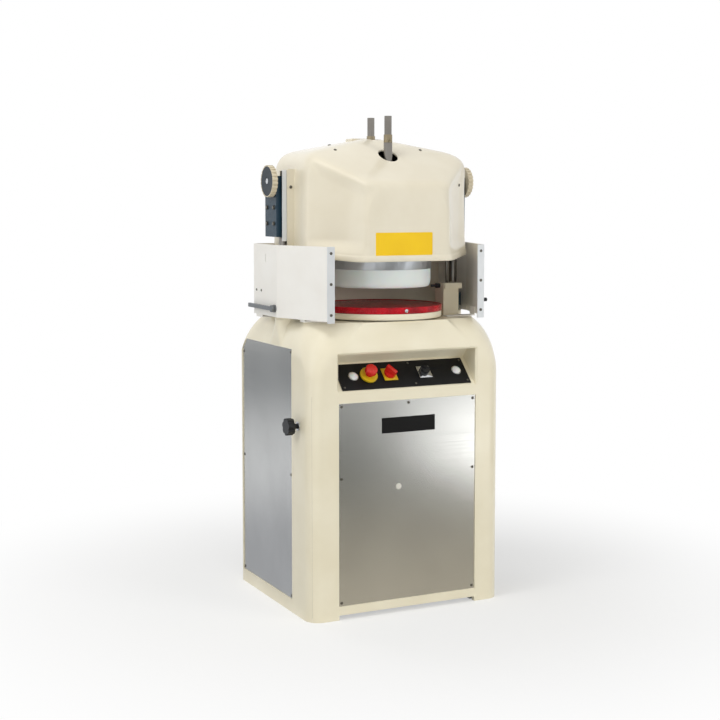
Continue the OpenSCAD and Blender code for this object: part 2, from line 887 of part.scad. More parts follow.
module left_start_button() {
    color("#efefec") on_control(left_start_x) start_button();
}

module right_start_button() {
    color("#efefec") on_control(right_start_x) start_button();
}

module stop_button() {
    neck = 9;
    under = stop_collar_h + stop_travel + neck;
    head_h = 16;
    round_r = 6;
    color("#d2201f") on_control(stop_x) {
        translate([0, 0, -stem_in]) cylinder(h = stem_in + under, r = stop_stem_r);
        translate([0, 0, under]) rotate_extrude() {
            square([stop_r, head_h - round_r]);
            square([stop_r - round_r, head_h]);
            translate([stop_r - round_r, head_h - round_r]) intersection() {
                circle(round_r);
                square(round_r);
            }
        }
    }
}

module main_switch() {
    disc_r = 18;
    disc_h = 9;
    grip_w = 12;
    grip_h = 26;
    grip_turn = 35;
    base = switch_plate_h + run_gap;
    color("#d2201f") on_control(switch_x) {
        translate([0, 0, -stem_in]) cylinder(h = stem_in + base + 1, r = switch_stem_r);
        translate([0, 0, base]) cylinder(h = disc_h, r = disc_r);
        rotate([0, 0, grip_turn]) translate([-grip_w / 2, -disc_r, base])
            cube([grip_w, 2 * disc_r, grip_h]);
    }
}

module timer_knob() {
    knob_h = 14;
    pointer_w = 4;
    pointer_out = 3;
    pointer_turn = 40;
    base = timer_plate_h + run_gap;
    color("#202124") on_control(timer_x) {
        translate([0, 0, -stem_in]) cylinder(h = stem_in + base + 1, r = timer_stem_r);
        translate([0, 0, base]) cylinder(h = knob_h, r = timer_knob_r);
        rotate([0, 0, pointer_turn]) translate([-pointer_w / 2, 0, base])
            cube([pointer_w, timer_knob_r + pointer_out, knob_h + 2]);
    }
}

module side_knob() {
    lobes = 7;
    lobe_cut_r = 7;
    head_t = 22;
    neck_t = 6;
    stem_back = cabinet_wall + 6;
    end = cabinet_x + side_knob_reach;
    color("#17181c") translate([0, side_knob_y, side_knob_z]) rotate([0, -90, 0]) {
        translate([0, 0, cabinet_x - stem_back])
            cylinder(h = side_knob_reach + stem_back - head_t + 1, r = side_knob_stem_r);
        translate([0, 0, end - head_t - neck_t]) cylinder(h = neck_t + 1, r = side_knob_stem_r + 4);
        translate([0, 0, end - head_t]) difference() {
            cylinder(h = head_t, r = side_knob_r);
            for (k = [0 : lobes - 1])
                rotate([0, 0, k * 360 / lobes]) translate([side_knob_r + lobe_cut_r / 2, 0, -1])
                    cylinder(h = head_t + 2, r = lobe_cut_r);
        }
    }
}

// Drive in the cabinet

module column_bushes() {
    collar_h = 42;
    collar_wall = 5;
    top = cabinet_h + bush_rise;
    color("#2d5266") for (s = sides) difference() {
        union() {
            post(s * column_x, column_y, boss_low, top, bush_r);
            post(s * column_x, column_y, top - collar_h, top, bush_r + collar_wall);
        }
        post(s * column_x, column_y, 0, top + 1, column_r + fit_gap);
    }
}

module bearing_housing() {
    wall = 12;
    flange_t = 12;
    flange_r = bearing_r + 32;
    web_w = 60;
    idler_h = 60;
    color("#5d6265") difference() {
        union() {
            post(spindle_x, tool_y, housing_z, housing_top, bearing_r + wall);
            post(spindle_x, tool_y, housing_top - flange_t, housing_top, flange_r);
            post(spindle_x, idler_y, housing_top - idler_h, housing_top, idler_shaft_r + wall + 4);
            block([spindle_x - web_w / 2, tool_y, housing_top - flange_t],
                [spindle_x + web_w / 2, idler_y, housing_top]);
        }
        post(spindle_x, tool_y, housing_z - 1, housing_top + 1, bearing_r);
        post(spindle_x, idler_y, housing_top - idler_h - 1, housing_top + 1, idler_shaft_r + fit_gap);
    }
}

module spindle_bearings() {
    color("#b4b7b9") for (z = [lower_bearing_z, upper_bearing_z])
        tube(spindle_x, tool_y, z, z + bearing_h, bearing_r, spindle_r + fit_gap);
}

module eccentric_spindle() {
    color("#9a9da0") {
        post(spindle_x, tool_y, pulley_z - 5, crank_z, spindle_r);
        post(spindle_x, tool_y, crank_z, crank_top, crank_r);
        post(0, tool_y, crank_top, pin_top, crank_pin_r);
    }
}

module driven_pulley() {
    holes = 5;
    hole_r = 0.2 * driven_pulley_r;
    color("#6f7376") difference() {
        post(spindle_x, tool_y, pulley_z, pulley_z + pulley_h, driven_pulley_r);
        post(spindle_x, tool_y, pulley_z - 1, pulley_z + pulley_h + 1, spindle_r);
        for (k = [0 : holes - 1])
            translate([spindle_x, tool_y, pulley_z - 1]) rotate([0, 0, k * 360 / holes])
                translate([0.6 * driven_pulley_r, 0, 0]) cylinder(h = pulley_h + 2, r = hole_r);
    }
}

module drive_belt() {
    margin = 6;
    belt_t = 5;
    color("#1c1c1d") translate([0, 0, pulley_z + margin]) linear_extrude(pulley_h - 2 * margin) difference() {
        belt_outline(belt_t);
        belt_outline(run_gap);
    }
}

module motor_pulley() {
    color("#6f7376") {
        post(0, motor_y, pulley_z, pulley_z + pulley_h, motor_pulley_r);
        post(0, motor_y, motor_top - motor_h / 4, pulley_z, motor_shaft_r);
    }
}

module drive_motor() {
    flange_t = 10;
    box_w = 60;
    box_reach = 30;
    box_out = motor_r + box_reach;
    color("#40566b") difference() {
        union() {
            post(0, motor_y, motor_top - motor_h, motor_top, motor_r);
            post(0, motor_y, motor_top - flange_t, motor_top, motor_flange_r);
            block([0, motor_y - box_w / 2, motor_top - motor_h / 2],
                [box_out, motor_y + box_w / 2, motor_top - motor_h / 4]);
        }
        post(0, motor_y, motor_top - motor_h / 3, motor_top + 1, motor_shaft_r + fit_gap);
    }
}

module motor_stand() {
    leg = 40;
    wing = 73;
    half_w = motor_flange_r + wing;
    front = motor_y - motor_flange_r;
    rear_lip = 8;
    rear = motor_y + motor_flange_r + rear_lip;
    color("#6d7072") difference() {
        union() {
            block([-half_w, front, motor_top], [half_w, rear, motor_top + shelf_t]);
            for (x = sides, y = [motor_y - leg, rear - leg])
                block([x * (half_w - leg / 2) - leg / 2, y, floor_top],
                    [x * (half_w - leg / 2) + leg / 2, y + leg, motor_top]);
        }
        post(0, motor_y, motor_top - 1, motor_top + shelf_t + 1, motor_shaft_r + leg / 8);
    }
}

module idler_crank() {
    shaft_h = 55;
    color("#9a9da0") {
        post(spindle_x, idler_y, housing_top - shaft_h, crank_z, idler_shaft_r);
        post(spindle_x, idler_y, crank_z, crank_top, idler_crank_r);
        post(0, idler_y, crank_top, pin_top, idler_pin_r);
    }
}

module slide_ring() {
    ring_in = 0.76 * plate_r;
    band = 16;
    color("#d8d6cc") tube(0, tool_y, cabinet_h, cabinet_h + slide_ring_t, ring_in + band, ring_in);
}

module table_carrier() {
    color("#ede4c8") difference() {
        post(0, tool_y, carrier_z, carrier_z + carrier_t, plate_r - 1);
        post(0, tool_y, carrier_z - 1, pin_top + run_gap, crank_pin_r + fit_gap);
        post(0, idler_y, carrier_z - 1, pin_top + run_gap, idler_pin_r + fit_gap);
    }
}

module moulding_plate() {
    rim = 12;
    dish = 2;
    color("#b5161f") difference() {
        post(0, tool_y, plate_z, plate_top, plate_r);
        post(0, tool_y, plate_top - dish, plate_top + 1, plate_r - rim);
    }
}

// Hydraulic press drive

module hydraulic_cylinder() {
    gland_h = 20;
    foot_t = 14;
    foot_r = cylinder_r + 25;
    head_r = cylinder_r + 6;
    color("#33536b") difference() {
        union() {
            post(0, column_y, floor_top, cylinder_top, cylinder_r);
            post(0, column_y, floor_top, floor_top + foot_t, foot_r);
            post(0, column_y, cylinder_top - 1.5 * gland_h, cylinder_top, head_r);
        }
        post(0, column_y, floor_top + gland_h, cylinder_top - gland_h, cylinder_r - cylinder_wall);
        post(0, column_y, floor_top + gland_h, cylinder_top + 1, piston_rod_r + fit_gap);
    }
}

module piston_rod() {
    piston_h = 40;
    color("#c3c6c8") {
        post(0, column_y, piston_z, crosshead_z, piston_rod_r);
        post(0, column_y, piston_z, piston_z + piston_h, cylinder_r - cylinder_wall - fit_gap);
    }
}

module crosshead() {
    half_y = 24;
    half_x = column_x + column_r + 3;
    color("#5d6265") difference() {
        block([-half_x, column_y - half_y, crosshead_z],
            [half_x, column_y + half_y, crosshead_z + crosshead_h]);
        for (s = sides)
            post(s * column_x, column_y, crosshead_z - 1, crosshead_z + crosshead_h + 1, column_r);
    }
}

module columns() {
    color("#d3d6d8") for (s = sides)
        post(s * column_x, column_y, crosshead_z, column_top, column_r);
}

module oil_tank() {
    side_gap = 24;
    color("#4b5961") block([-cabinet_x + side_gap, tank_front, floor_top],
        [tank_x, tank_rear, floor_top + tank_h]);
}

module pump_motor() {
    x = tank_x - 65;
    y = (tank_front + tank_rear) / 2;
    low = floor_top + tank_h;
    foot_h = 30;
    foot_r = 62;
    body_h = 160;
    color("#40566b") {
        post(x, y, low, low + foot_h, foot_r);
        post(x, y, low + foot_h, low + foot_h + body_h, foot_r - 8);
    }
}

// Guards and pedestal

module guard_half() {
    tab_t = 3;
    reach = plate_r + orbit_r + 6;
    lean = (guard_x - guard_front_x) / (guard_bend_y - guard_front_y);
    foot_front = guard_rear - 70;
    foot_rear = guard_rear - 20;
    tab_y = tool_y - 90;
    tab_w = 30;
    tab_in = plate_r - 2;
    tab_rise = 20;
    tab_x = guard_x - lean * (guard_bend_y - tab_y) - guard_t;
    translate([0, 0, guard_z]) linear_extrude(guard_h) guard_plan(guard_t);
    // Feet that carry the sheet on the cabinet top
    block([reach, foot_front, cabinet_h], [guard_x, foot_rear, cabinet_h + tab_t]);
    block([guard_x - guard_t, foot_front, cabinet_h], [guard_x, foot_rear, guard_z + 1]);
    block([tab_in, tab_y, cabinet_h], [tab_x, tab_y + tab_w, cabinet_h + tab_t]);
    block([tab_x - guard_t, tab_y, cabinet_h], [tab_x, tab_y + tab_w, guard_z + tab_rise]);
}

module guards() {
    slot_y = guard_bend_y + 87;
    slot_w = 4;
    slot_h = 26;
    slot_drop = 30;
    color("#efe9d8") difference() {
        for (s = sides) mirror([s < 0 ? 1 : 0, 0, 0]) guard_half();
        translate([guard_front_x - strip_w / 2, guard_knob_y, guard_knob_z]) rotate([0, 90, 0])
            cylinder(h = strip_w, r = guard_knob_stem_r + stem_gap);
        // Slot in the left guard
        block([-guard_x - 1, slot_y, guard_top - slot_drop - slot_h],
            [-guard_x + guard_t + 1, slot_y + slot_w, guard_top - slot_drop]);
    }
}

module rear_guard() {
    color("#8b847a") block([-guard_x + guard_t, guard_rear - guard_t, guard_z],
        [guard_x - guard_t, guard_rear, guard_top]);
}

module guard_strips() {
    under = 5;
    color("#b7babd") for (s = sides) mirror([s < 0 ? 1 : 0, 0, 0])
        block([guard_front_x - strip_w, guard_front_y - strip_t, guard_z - under],
            [guard_front_x, guard_front_y, guard_top]);
}

module guard_knob() {
    head_h = 10;
    color("#17181c") translate([guard_front_x, guard_knob_y, guard_knob_z]) rotate([0, 90, 0]) {
        translate([0, 0, -2 * guard_t]) cylinder(h = 2 * guard_t + head_h, r = guard_knob_stem_r);
        translate([0, 0, head_h]) cylinder(h = head_h, r = 2 * guard_knob_stem_r);
    }
}

module latch_pivot() {
    color("#55585a") translate([0, latch_y, latch_z]) rotate([0, -90, 0]) {
        translate([0, 0, guard_x]) cylinder(h = latch_collar_t, r = latch_pin_r + 7);
        translate([0, 0, guard_x]) cylinder(h = lever_out - guard_x, r = latch_pin_r);
    }
}

module latch_lever() {
    eye_r = 11;
    color("#8d9093") difference() {
        union() {
            translate([0, latch_y, latch_z]) rotate([0, -90, 0]) translate([0, 0, lever_in])
                cylinder(h = lever_out - lever_in, r = eye_r);
            block([-lever_out, latch_y, latch_z - lever_half], [-lever_in, lever_end, latch_z + lever_half]);
        }
        translate([0, latch_y, latch_z]) rotate([0, -90, 0])
            cylinder(h = lever_out + 1, r = latch_pin_r + fit_gap);
    }
}

module pedestal() {
    head_w = pedestal_w + 16;
    head_t = 18;
    root = 40;
    bore_h = press_travel + root;
    half = pedestal_w / 2;
    color("#ece3c9") difference() {
        union() {
            block([pedestal_x - half, pedestal_y - half, cabinet_h - root],
                [pedestal_x + half, pedestal_y + half, pedestal_top]);
            block([pedestal_x - half + 2, pedestal_y - head_w / 2, pedestal_top - head_t],
                [pedestal_x + head_w / 2, pedestal_y + head_w / 2, pedestal_top]);
        }
        cabinet_solid();
        post(pedestal_x, pedestal_y, pedestal_top - bore_h, pedestal_top + 1, guide_r + fit_gap);
    }
}

module position_sensor() {
    tip = ring_r + 14;
    base = pedestal_x - pedestal_w / 2;
    pin_r = 4;
    nut_h = 12;
    color("#1b1c1e") translate([tip, pedestal_y, sensor_z]) rotate([0, 90, 0]) {
        cylinder(h = base - tip, r = pin_r);
        translate([0, 0, base - tip - nut_h]) cylinder(h = nut_h, r = 2 * pin_r);
    }
}

module guide_pin() {
    held = 25;
    color("#d3d6d8") post(pedestal_x, pedestal_y, pedestal_top - held, yoke_z + yoke_t, guide_r);
}

// Head

module hood() {
    color("#efe6c6") difference() {
        hood_solid(0);
        hood_solid(hood_wall);
        for (y = [-rod_pitch, rod_pitch])
            post(0, tool_y + y, lip_z, machine_h, rod_hole_r);
        for (s = sides) mirror([s < 0 ? 1 : 0, 0, 0])
            block([hood_x - hood_shoulder_r / 2, slot_front, slot_low], [hood_x + 1, slot_rear, slot_high]);
    }
}

module head_bolts() {
    bolt_r = 7;
    bolt_h = 5;
    bolt_in = 18;
    // The lower bolts stay above the guards at the end of the stroke
    low = guard_top + press_travel + bolt_r + 3;
    high = low + 50;
    color("#3c4043") for (s = sides, z = [low, high], y = [block_front + bolt_in, block_rear - bolt_in])
        translate([s * block_out, y, z]) rotate([0, s * 90, 0]) cylinder(h = bolt_h, r = bolt_r);
}

module column_blocks() {
    lug_back = 28;
    lug_top = 16;
    color("#2d5266") for (s = sides) mirror([s < 0 ? 1 : 0, 0, 0]) difference() {
        union() {
            block([block_in, block_front, block_low], [block_out, block_rear, block_high]);
            block([block_in, block_front, block_high - 1],
                [block_out, wheel_y + lug_back, wheel_z + lug_top]);
        }
        post(column_x, column_y, block_low - 1, column_top, column_r);
        translate([block_in - 1, wheel_y, wheel_z]) rotate([0, 90, 0])
            cylinder(h = block_out - block_in + 2, r = wheel_shaft_r + fit_gap);
    }
}

module head_beam() {
    arm_x = 60;
    pin_arm = 20;
    disc_r = ring_r + 26;
    beam_front = column_y - 14;
    beam_rear = column_y + 60;
    color("#5d6265") difference() {
        union() {
            post(0, tool_y, yoke_z, yoke_z + yoke_t, disc_r);
            block([-block_in, beam_front, yoke_z], [block_in, beam_rear, yoke_z + beam_h]);
            // Arms that carry the hood and the guide pin
            block([-arm_x, hood_front + hood_wall, yoke_z], [arm_x, tool_y, yoke_z + yoke_t]);
            block([-arm_x, tool_y, yoke_z], [arm_x, hood_rear - hood_wall, yoke_z + yoke_t]);
            block([0, pedestal_y - pin_arm, yoke_z],
                [pedestal_x + pin_arm, pedestal_y + pin_arm, yoke_z + yoke_t]);
        }
        for (y = [-rod_pitch, rod_pitch])
            post(0, tool_y + y, yoke_z - 1, yoke_z + beam_h + 1, rod_low_r + fit_gap);
        post(pedestal_x, pedestal_y, yoke_z - 1, yoke_z + yoke_t + 1, guide_r);
    }
}

module ring_holder() {
    flange_r = ring_r + 21;
    post_r = 9;
    post_out = ring_r + 9;
    color("#a4a9ad") {
        difference() {
            union() {
                post(0, tool_y, holder_z, holder_flange_z, ring_r + 2);
                post(0, tool_y, holder_flange_z, holder_flange_z + holder_flange_t, flange_r);
            }
            post(0, tool_y, holder_z - 1, holder_flange_z + holder_flange_t + 1, ring_bore_r);
        }
        for (k = [45 : 90 : 315])
            post(post_out * cos(k), tool_y + post_out * sin(k), holder_flange_z + holder_flange_t, yoke_z,
                post_r);
    }
}

module pressing_ring() {
    edge_r = 4;
    color("#eef0ea") translate([0, tool_y, ring_z]) rotate_extrude() translate([ring_bore_r, 0]) {
        translate([0, edge_r]) square([ring_wall, ring_h - edge_r]);
        square([ring_wall - edge_r, ring_h]);
        translate([ring_wall - edge_r, edge_r]) circle(edge_r);
    }
}

// Cells between two knife circles, parted by radial gaps
module cell_ring(r_in, r_out, cells, gap) {
    difference() {
        circle(r_out);
        if (r_in > 0) circle(r_in);
        for (k = [0 : cells - 1])
            rotate(k * 360 / cells) translate([0, -gap / 2]) square([r_out + 1, gap]);
    }
}

// Middles of the cells of one circle
module at_cells(r, cells) {
    for (k = [0 : cells - 1])
        rotate([0, 0, (k + 0.5) * 360 / cells]) translate([r, 0, 0]) children();
}

module plungers() {
    inner = knife_inner_r - cell_half;
    middle = knife_middle_r - cell_half;
    color("#e9ebe8") translate([0, tool_y, tool_z]) {
        linear_extrude(plunger_h) {
            cell_ring(0, inner, inner_cells, 2 * cell_half);
            cell_ring(knife_inner_r + cell_half, middle, middle_cells, 2 * cell_half);
            cell_ring(knife_middle_r + cell_half, cell_r - cell_gap, outer_cells, 2 * cell_half);
        }
        translate([0, 0, plunger_h]) {
            at_cells(inner * 0.58, inner_cells) cylinder(h = stem_h, r = stem_r);
            at_cells((knife_inner_r + middle) / 2, middle_cells) cylinder(h = stem_h, r = stem_r);
            at_cells((knife_middle_r + cell_r) / 2, outer_cells) cylinder(h = stem_h, r = stem_r);
        }
    }
}

module plunger_plate() {
    edge = 5;
    color("#8d9194") difference() {
        post(0, tool_y, plunger_plate_z, plunger_plate_z + plunger_plate_t, cell_r - edge);
        for (y = [-rod_pitch, rod_pitch])
            post(0, tool_y + y, rod_foot, plunger_plate_z + plunger_plate_t + 1, rod_low_r);
    }
}

module press_rods() {
    color("#cfd2d4") for (y = [-rod_pitch, rod_pitch]) {
        post(0, tool_y + y, rod_foot, collar_low, rod_low_r);
        post(0, tool_y + y, collar_low, machine_h, rod_top_r);
    }
}

module rod_collars() {
    color("#9c8257") for (y = [-rod_pitch, rod_pitch])
        tube(0, tool_y + y, collar_low, collar_high, collar_r, rod_top_r);
}

// Radial blades between two knife circles
module blade_ring(r_in, r_out, cells) {
    for (k = [0 : cells - 1])
        rotate(k * 360 / cells) translate([r_in, -blade_t / 2]) square([r_out - r_in, blade_t]);
}

// Upright band of a knife circle
module knife_circle(r, t) {
    difference() {
        circle(r + t / 2);
        circle(r - t / 2);
    }
}

module dividing_knife() {
    tube_mid = knife_tube_r - knife_tube_wall / 2;
    tube_top = holder_flange_z + holder_flange_t + tool_travel + 22;
    flange_t = 6;
    color("#b9bec2") translate([0, tool_y, 0]) {
        translate([0, 0, tool_z]) {
            linear_extrude(blade_h) {
                knife_circle(knife_inner_r, blade_t);
                knife_circle(knife_middle_r, blade_t);
                blade_ring(0, knife_inner_r, inner_cells);
                blade_ring(knife_inner_r, knife_middle_r, middle_cells);
                blade_ring(knife_middle_r, tube_mid, outer_cells);
            }
            linear_extrude(tube_top - tool_z) knife_circle(tube_mid, knife_tube_wall);
        }
        tube(0, 0, tube_top, tube_top + flange_t, ring_r - 1, cell_r);
    }
}

// Notched wheel with its own shaft and stop cam
module thickness_wheel() {
    notches = 24;
    notch_w = 4;
    notch_in = 3;
    dish = 2;
    rim = 6;
    hub_r = 9;
    face = wheel_x - wheel_t;
    inner = hood_x - 55;
    cam_t = 14;
    cam_r = 17;
    cam_off = 5;
    translate([0, wheel_y, wheel_z]) rotate([0, 90, 0]) {
        translate([0, 0, face]) difference() {
            cylinder(h = wheel_t, r = wheel_r);
            for (k = [0 : notches - 1])
                rotate([0, 0, k * 360 / notches]) translate([wheel_r - notch_in, -notch_w / 2, -1])
                    cube([2 * notch_in, notch_w, wheel_t + 2]);
            translate([0, 0, wheel_t - dish]) cylinder(h = dish + 1, r = wheel_r - rim);
        }
        translate([0, 0, wheel_x - dish - 1]) cylinder(h = dish + 1, r = hub_r);
        translate([0, 0, inner]) cylinder(h = face - inner + 1, r = wheel_shaft_r);
        translate([cam_off, 0, inner]) cylinder(h = cam_t, r = cam_r);
    }
}

module left_wheel() {
    color("#4a4f55") mirror([1, 0, 0]) thickness_wheel();
}

module right_wheel() {
    color("#4a4f55") thickness_wheel();
}

cabinet_shell();
base_frame();
front_panel();
left_panel();
right_panel();
rear_panel();
panel_screws();
nameplate();
cable_gland();
control_plate();
control_bezels();
yellow_backplates();
switch_bodies();
left_start_button();
right_start_button();
stop_button();
main_switch();
timer_knob();
side_knob();
column_bushes();
bearing_housing();
spindle_bearings();
eccentric_spindle();
driven_pulley();
drive_belt();
motor_pulley();
drive_motor();
motor_stand();
idler_crank();
slide_ring();
table_carrier();
moulding_plate();
hydraulic_cylinder();
piston_rod();
crosshead();
columns();
oil_tank();
pump_motor();
guards();
rear_guard();
guard_strips();
guard_knob();
latch_pivot();
latch_lever();
pedestal();
position_sensor();
guide_pin();
hood();
head_bolts();
column_blocks();
head_beam();
ring_holder();
pressing_ring();
plunger_plate();
plungers();
press_rods();
rod_collars();
dividing_knife();
left_wheel();
right_wheel();
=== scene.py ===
# %% [markdown]
# # Dressing a divider rounder
#
# A divider rounder is a bakery machine: a press at the top cuts a cake of dough into thirty pieces, and a
# table that swings in small circles under it rolls every piece into a ball. The CAD part gives each piece
# its place and its size. Here the pieces get the looks of the real machine: cream enamel, brushed
# stainless panels, a moulded hood and turned rods. The scene is in metres and in the CAD frame, so
# nothing is fitted. New pieces are drawn in millimetres, and sizes that they share with the CAD part are
# read from its boxes.

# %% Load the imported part
import json
import math

import bmesh
import bpy
import numpy as np
from mathutils import Matrix, Vector


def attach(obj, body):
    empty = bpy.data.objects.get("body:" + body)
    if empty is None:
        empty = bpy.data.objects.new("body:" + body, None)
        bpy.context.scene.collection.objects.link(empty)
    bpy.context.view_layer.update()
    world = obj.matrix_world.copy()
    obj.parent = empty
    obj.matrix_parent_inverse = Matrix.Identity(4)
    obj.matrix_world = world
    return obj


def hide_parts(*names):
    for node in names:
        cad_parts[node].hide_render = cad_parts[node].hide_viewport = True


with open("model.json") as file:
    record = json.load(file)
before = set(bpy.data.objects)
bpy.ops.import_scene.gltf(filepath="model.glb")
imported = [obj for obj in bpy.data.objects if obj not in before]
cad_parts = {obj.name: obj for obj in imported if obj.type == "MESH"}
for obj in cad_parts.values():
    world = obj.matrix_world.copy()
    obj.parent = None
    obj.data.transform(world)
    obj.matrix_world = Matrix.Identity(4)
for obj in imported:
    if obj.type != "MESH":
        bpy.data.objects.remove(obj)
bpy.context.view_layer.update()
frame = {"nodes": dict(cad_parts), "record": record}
nodes = frame["nodes"]
scene = bpy.context.scene
MM, METRE = 0.001, 1000.0
slot_of = {part["node"]: part["material_slot"] for part in frame["record"]["subparts"]}


def box_mm(name):
    """Low and high corners of a CAD node's box, in mm to a tenth."""
    cloud = np.array([vert.co for vert in nodes[name].data.vertices]) / MM
    return cloud.min(0).round(1).tolist(), cloud.max(0).round(1).tolist()


# %% [markdown]
# ## Camera
#
# The photograph was taken from a little to the left of the machine, about four and a half metres away,
# with the camera almost level. The numbers below come from fitting a camera to corners whose places are
# known. A small shift does part of the framing and a slight downward tilt does the rest, so that other
# views of the machine, which keep the shift, still hold all of it.

# %% Camera at the photograph's angle
EYE, TILT_DOWN, TURN_RIGHT = (-1.9991, -4.0254, 1.2758), 4.498, 26.077
camera_data = bpy.data.cameras.new("camera")
camera_data.lens = 69.258
camera_data.sensor_width = 36.0
camera_data.shift_y = -0.07
camera = bpy.data.objects.new("camera", camera_data)
camera.location = EYE
camera.rotation_euler = (math.radians(90 - TILT_DOWN), 0, math.radians(-TURN_RIGHT))
scene.collection.objects.link(camera)
scene.camera = camera
print("camera", tuple(round(v, 3) for v in camera.location))

# %% [markdown]
# ## Colours and nodes
#
# Colours are written as a designer would note them, as sRGB hex, and turned to linear light once. All
# shader nodes are made by one small function: it takes the kind, the inputs (a value or another node's
# output) and any settings.


# %% Two helpers for every material
def linear(code):
    """Turn an sRGB hex colour such as #efe6c6 into linear RGBA."""
    parts = [int(code[i:i + 2], 16) / 255 for i in (1, 3, 5)]
    return [p / 12.92 if p <= 0.04045 else ((p + 0.055) / 1.055) ** 2.4 for p in parts] + [1.0]


def add(tree, kind, inputs=None, **settings):
    """Add a shader node, set its properties, and set or link its inputs."""
    node = tree.nodes.new("ShaderNode" + kind)
    for name, value in settings.items():
        setattr(node, name, value)
    for socket, value in (inputs or {}).items():
        if isinstance(value, bpy.types.NodeSocket):
            tree.links.new(value, node.inputs[socket])
        else:
            node.inputs[socket].default_value = value
    return node


# %% [markdown]
# ## A recipe for surfaces
#
# Every surface here has two scales of detail: a slow change of tone over a hand's width, from handling
# and casting, and a fine grain from the way it was made, such as the orange peel of sprayed enamel or the
# lines of a turning tool. One recipe draws both. The grain moves the roughness and lifts the surface, the
# slow noise mixes two close colours, and worn spots come from a third noise. The stretch lays the grain
# out into lines. A noise rarely leaves the middle of its range, so each one is spread from a narrow band.

# %% The surface recipe
TONE_BAND, GRAIN_BAND, SPOT_BAND = (0.35, 0.65), (0.3, 0.7), (0.6, 0.78)
SPOT_SIZE, SPOT_SHARE = 35.0, 0.45


def surface(name, colour, tone, rough, grain, lift, mottle=140.0, stretch=(1, 1, 1), soil=None, **shader):
    """Make a material: colours in hex, grain and mottle sizes and the lift in mm, rough as (low, high)."""
    material = bpy.data.materials.new(name)
    material.use_nodes = True
    tree = material.node_tree
    bsdf = tree.nodes["Principled BSDF"]
    place = add(tree, "TexCoord").outputs["Object"]
    drawn = add(tree, "Mapping", {"Vector": place, "Scale": stretch}).outputs["Vector"]
    fine = add(tree, "TexNoise", {"Vector": drawn, "Scale": METRE / grain, "Detail": 3.0}).outputs["Fac"]
    slow = add(tree, "TexNoise", {"Vector": place, "Scale": METRE / mottle, "Detail": 4.0}).outputs["Fac"]
    spread = add(tree, "MapRange", {"Value": slow, "From Min": TONE_BAND[0], "From Max": TONE_BAND[1]})
    shade = add(tree, "Mix", {"Factor": spread.outputs["Result"], 6: linear(colour), 7: linear(tone)},
                data_type="RGBA").outputs[2]
    if soil:
        spot = add(tree, "TexNoise", {"Vector": place, "Scale": METRE / SPOT_SIZE, "Detail": 8.0,
                                      "Roughness": 0.7})
        mask = add(tree, "MapRange", {"Value": spot.outputs["Fac"], "From Min": SPOT_BAND[0],
                                      "From Max": SPOT_BAND[1], "To Max": SPOT_SHARE})
        shade = add(tree, "Mix", {"Factor": mask.outputs["Result"], 6: shade, 7: linear(soil)},
                    data_type="RGBA").outputs[2]
    gloss = add(tree, "MapRange", {"Value": fine, "From Min": GRAIN_BAND[0], "From Max": GRAIN_BAND[1],
                                   "To Min": rough[0], "To Max": rough[1]})
    bump = add(tree, "Bump", {"Height": fine, "Distance": lift * MM, "Strength": 1.0})
    tree.links.new(shade, bsdf.inputs["Base Color"])
    tree.links.new(gloss.outputs["Result"], bsdf.inputs["Roughness"])
    tree.links.new(bump.outputs["Normal"], bsdf.inputs["Normal"])
    for socket, value in shader.items():
        bsdf.inputs[socket.replace("_", " ")].default_value = value
    return material


# %% [markdown]
# ## Painted and moulded skins
#
# The cabinet is an iron and sheet body under sprayed cream enamel: glossy, with a faint orange peel about
# three millimetres wide. The hood is a glass-fibre moulding with a gel coat of the same cream, smoother
# and a little deeper in gloss. The guards are powder coated, whiter and softer. The column castings wear
# a blue machine enamel.

# %% Cream, ivory and blue skins
paint = {
    # Gloss whose highlights waver a little on the orange peel
    "cream_enamel": surface("cream_sprayed_enamel", "#f0e8cf", "#ebe2c7", (0.34, 0.42), 3.0, 0.006,
                            IOR=1.5, Coat_Weight=0.5, Coat_Roughness=0.14),
    # A smoother and deeper gloss, with long clean highlights on its edges
    "hood_moulding": surface("cream_gel_coat_moulded", "#e8e0cb", "#e3dac3", (0.28, 0.34), 5.0, 0.006,
                             IOR=1.5, Coat_Weight=0.5, Coat_Roughness=0.1),
    # Whiter and softer, so that the folds carry the form
    "guard_enamel": surface("ivory_powder_coat", "#faf8f2", "#f6f3ec", (0.4, 0.5), 1.5, 0.03, IOR=1.5),
    # Dull, with dusty stains
    "rear_enamel": surface("grey_powder_coat", "#e8dfce", "#ddd4c2", (0.4, 0.55), 1.5, 0.04, soil="#b5ab9b",
                           IOR=1.5),
    # Painted shade: dark and matt, standing in for the shadow inside the hood, so that slots look deep
    "painted_shade_inside": surface("dark_matt_painted_shade", "#2b2c2e", "#222325", (0.6, 0.75), 3.0, 0.1, IOR=1.5),
    # Dark blue with brush marks and oily spots
    "blue_paint": surface("blue_machine_enamel_brushed_on", "#1d3c4e", "#173342", (0.35, 0.5), 4.0, 0.08,
                          soil="#17262e", IOR=1.5),
    # Greyer and duller than the castings
    "motor_paint": surface("grey_blue_motor_enamel", "#3d5360", "#384c58", (0.4, 0.55), 2.5, 0.06,
                           soil="#20282d", IOR=1.5),
}
print(len(paint), "painted skins")

# %% [markdown]
# ## Metals
#
# The panels are stainless sheet brushed in one direction: the real lines are a fifth of a millimetre
# apart, too fine for this picture, so they are drawn about three millimetres apart. The rods and columns
# are ground and hard chromed, the screws are nickel plated, the collars are turned brass, and the works
# inside are of milled steel. A metal keeps the default index of refraction: its colour and roughness say
# it all.

